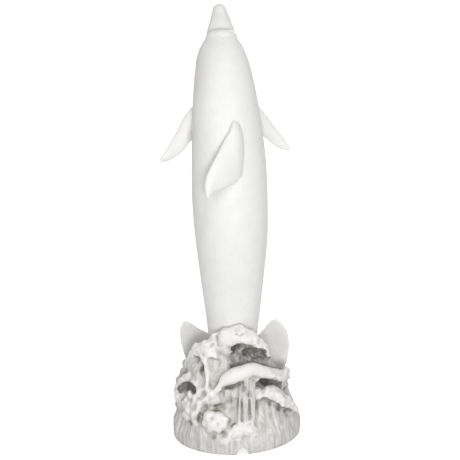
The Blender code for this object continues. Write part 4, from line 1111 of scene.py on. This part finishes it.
def coating(name):
    """A new material: itself, its nodes, its shader and the places on the object."""
    made = bpy.data.materials.new(name)
    made.use_nodes = True
    tree = made.node_tree
    place = node(tree, "TexCoord").outputs["Object"]
    return made, tree, tree.nodes["Principled BSDF"], place


def bumpy(tree, surface, height, strength, depth):
    bump = node(tree, "Bump", {"Height": height, "Strength": strength, "Distance": depth})
    tree.links.new(bump.outputs["Normal"], surface.inputs["Normal"])


def stone(name, coat):
    """White stone with a dark wash in its hollows, where it was left thick, and thin on the water, and
    painted shade where it is sheltered and in the listed spots.
    """
    clean, wash_and_shade_tone, deep = [(*coat[key], 1.0) for key in ("clean", "wash_and_shade_tone", "deep")]
    small_weight, large_weight = coat["weights"]
    made, tree, surface, place = coating(name)
    patches = clouds(tree, place, 30.0, 5.0, 0.65)
    specks = clouds(tree, place, 260.0, 3.0, 0.7)
    flow = node(tree, "VectorMath", {0: place, 1: STREAK_STRETCH}, operation="MULTIPLY")
    streaks = clouds(tree, flow.outputs[0], 150.0, 4.0, 0.6)
    closed = noted(tree, "shelter")
    in_small = spread(tree, noted(tree, "hollow_small"), *coat["small"])
    in_large = spread(tree, noted(tree, "hollow_large"), *coat["large"])
    # Shelter darkens the stone: painted shade, with the wash gathered there
    sheltered_wash_and_shade = spread(tree, closed, *coat["shut"])
    open_water = math_node(tree, "SUBTRACT", 1.0, noted(tree, "foamy"))
    thin = spread(tree, streaks, *MIDDLE_BAND, *coat["face"])
    streaky = spread(tree, streaks, *MIDDLE_BAND, 0.7, 1.0)
    pooled = math_node(tree, "MULTIPLY", noted(tree, "pooled"), streaky)
    # The wash in hollows and streaks, and painted shade in sheltered places and pools
    wash_and_shade_share = math_node(tree, "MULTIPLY", in_small, small_weight)
    for more in (
        math_node(tree, "MULTIPLY", in_large, large_weight),
        sheltered_wash_and_shade,
        math_node(tree, "MULTIPLY", open_water, thin),
        math_node(tree, "MULTIPLY", pooled, coat["pool_wash_and_shade"]),
    ):
        wash_and_shade_share = math_node(tree, "MAXIMUM", wash_and_shade_share, more)
    patchy_wash_and_shade = math_node(tree, "MULTIPLY", wash_and_shade_share, spread(tree, patches, 0.25, 0.65, 0.65, 1.0))
    share = math_node(tree, "MULTIPLY", patchy_wash_and_shade, coat["amount"])
    cloudy = (*[level * tint for level, tint in zip(clean, CLOUD_TINT)], 1.0)
    marble = mix(tree, spread(tree, patches, 0.35, 0.75), clean, cloudy)
    # Sheltered places and pools turn towards the near-black deep colour: painted shade
    pooled_shade_depth = math_node(tree, "MULTIPLY", pooled, coat["pool_shade_depth"])
    depth = math_node(tree, "MAXIMUM", closed, pooled_shade_depth)
    dark = mix(tree, spread(tree, depth, *coat["deep_at"]), wash_and_shade_tone, deep)
    tree.links.new(mix(tree, share, marble, dark), surface.inputs["Base Color"])
    rough = spread(tree, specks, *MIDDLE_BAND, coat["rough"] - 0.05, coat["rough"] + 0.08)
    tree.links.new(rough, surface.inputs["Roughness"])
    bumpy(tree, surface, specks, 0.25, 0.0006)
    surface.inputs["Specular IOR Level"].default_value = 0.4
    return made


def plain(name, colour, roughness, scale, transmission=0.0):
    """A plastic with a faint unevenness in its colour and gloss."""
    made, tree, surface, place = coating(name)
    specks = clouds(tree, place, scale, 3.0, 0.5)
    light = (*colour, 1.0)
    dark = (*[level * 0.85 for level in colour], 1.0)
    tint = mix(tree, spread(tree, specks, *MIDDLE_BAND), light, dark)
    tree.links.new(tint, surface.inputs["Base Color"])
    rough = spread(tree, specks, *MIDDLE_BAND, roughness - 0.05, roughness + 0.05)
    tree.links.new(rough, surface.inputs["Roughness"])
    bumpy(tree, surface, specks, 0.2, 0.0003)
    surface.inputs["Transmission Weight"].default_value = transmission
    return made


def coated(item, coat):
    item.data.materials.clear()
    item.data.materials.append(coat)


def camera():
    place = Vector(CAMERA_PLACE)
    ahead = (Vector(CAMERA_AIM) - place).normalized()
    right = ahead.cross(Vector((0, 0, 1))).normalized()
    up = right.cross(ahead)
    up = up * math.cos(CAMERA_ROLL) + right * math.sin(CAMERA_ROLL)
    right = ahead.cross(up)
    turn = Matrix((right, up, -ahead)).transposed().to_4x4()
    turn.translation = place
    data = bpy.data.cameras.new("camera")
    data.sensor_width = SENSOR
    data.lens = PHOTO_FOCAL / PHOTO_SIDE * SENSOR
    data.shift_x = (PHOTO_SIDE / 2 - PHOTO_MIDDLE[0]) / PHOTO_SIDE
    data.shift_y = (PHOTO_MIDDLE[1] - PHOTO_SIDE / 2) / PHOTO_SIDE
    data.clip_end = CAMERA_REACH
    made = placed("camera", data, bpy.context.scene.collection)
    made.matrix_world = turn
    bpy.context.scene.camera = made


def seen_directly(tree):
    """1 for what the camera sees, also in a gloss or through glass, and 0 for the light."""
    path = node(tree, "LightPath")
    seen = math_node(tree, "MAXIMUM", path.outputs["Is Camera Ray"], path.outputs["Is Glossy Ray"])
    return math_node(tree, "MAXIMUM", seen, path.outputs["Is Transmission Ray"])


def glow(tree, kind, level, strength):
    return node(tree, kind, {"Color": (level, level, level, 1.0), "Strength": strength}).outputs[0]


def surroundings():
    world = bpy.data.worlds.new("studio")
    bpy.context.scene.world = world
    world.use_nodes = True
    tree = world.node_tree
    tree.nodes.clear()
    soft = glow(tree, "Background", 1.0, WORLD_LIGHT)
    white = glow(tree, "Background", 1.0, 1.0)
    both = node(tree, "MixShader", {0: seen_directly(tree), 1: soft, 2: white})
    node(tree, "OutputWorld", {"Surface": both.outputs[0]})


def white_floor():
    shape = bmesh.new()
    bmesh.ops.create_circle(shape, cap_ends=True, segments=64, radius=FLOOR_RADIUS)
    floor = shaped("floor", shape, bpy.context.scene.collection)
    coat = bpy.data.materials.new("floor_white")
    coat.use_nodes = True
    tree = coat.node_tree
    tree.nodes.clear()
    grey = (FLOOR_GREY, FLOOR_GREY, FLOOR_GREY, 1.0)
    matt = node(tree, "BsdfDiffuse", {"Color": grey}).outputs[0]
    white = glow(tree, "Emission", 1.0, FLOOR_GLOW)
    black = glow(tree, "Emission", 0.0, 0.0)
    shown = node(tree, "MixShader", {0: seen_directly(tree), 1: black, 2: white})
    total = node(tree, "AddShader", {0: matt, 1: shown.outputs[0]})
    node(tree, "OutputMaterial", {"Surface": total.outputs[0]})
    coated(floor, coat)


def lamp(name, place, aim, power, size):
    data = bpy.data.lights.new(name, "AREA")
    with_settings(data, energy=power, shape="DISK", size=size)
    made = placed(name, data, bpy.context.scene.collection)
    made.location = place
    made.rotation_euler = (Vector(aim) - Vector(place)).to_track_quat("-Z", "Y").to_euler()


def main():
    pieces = collection("pieces")
    spare = collection("spare")
    dolphin = make_dolphin(spare)
    waves = make_waves(spare)
    for item in list(spare.objects):
        if item.name not in (dolphin.name, waves.name):
            bpy.data.objects.remove(item)
    for item in (dolphin, waves):
        spare.objects.unlink(item)
        pieces.objects.link(item)
    tongue = through(ROLLS["middle_tongue"], TONGUE_STEPS)
    ridge = through(ROLLS["left_ridge"], RIDGE_STEPS)
    store_wash_and_shade(dolphin, BODY_WASH_AND_SHADE, [])
    store_wash_and_shade(waves, WAVE_WASH_AND_SHADE, [*FROTH, *tongue, *ridge])
    coated(dolphin, stone("stone_body", BODY_COAT))
    coated(waves, stone("stone_waves", WAVE_COAT))
    for item in (dolphin, waves):
        item.data.shade_smooth()
        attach(item, "root")
        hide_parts("statue")
    coated(frame["nodes"]["water_tube"], plain("milky_vinyl", (0.78, 0.80, 0.78), 0.3, 80.0, 0.3))
    coated(frame["nodes"]["hose_fitting"], plain("black_nylon_skin", (0.03, 0.03, 0.03), 0.45, 300.0))
    camera()
    surroundings()
    white_floor()
    for row in LAMPS:
        lamp(*row)
    bpy.context.scene.view_settings.view_transform = "Standard"
    bpy.context.view_layer.update()


main()
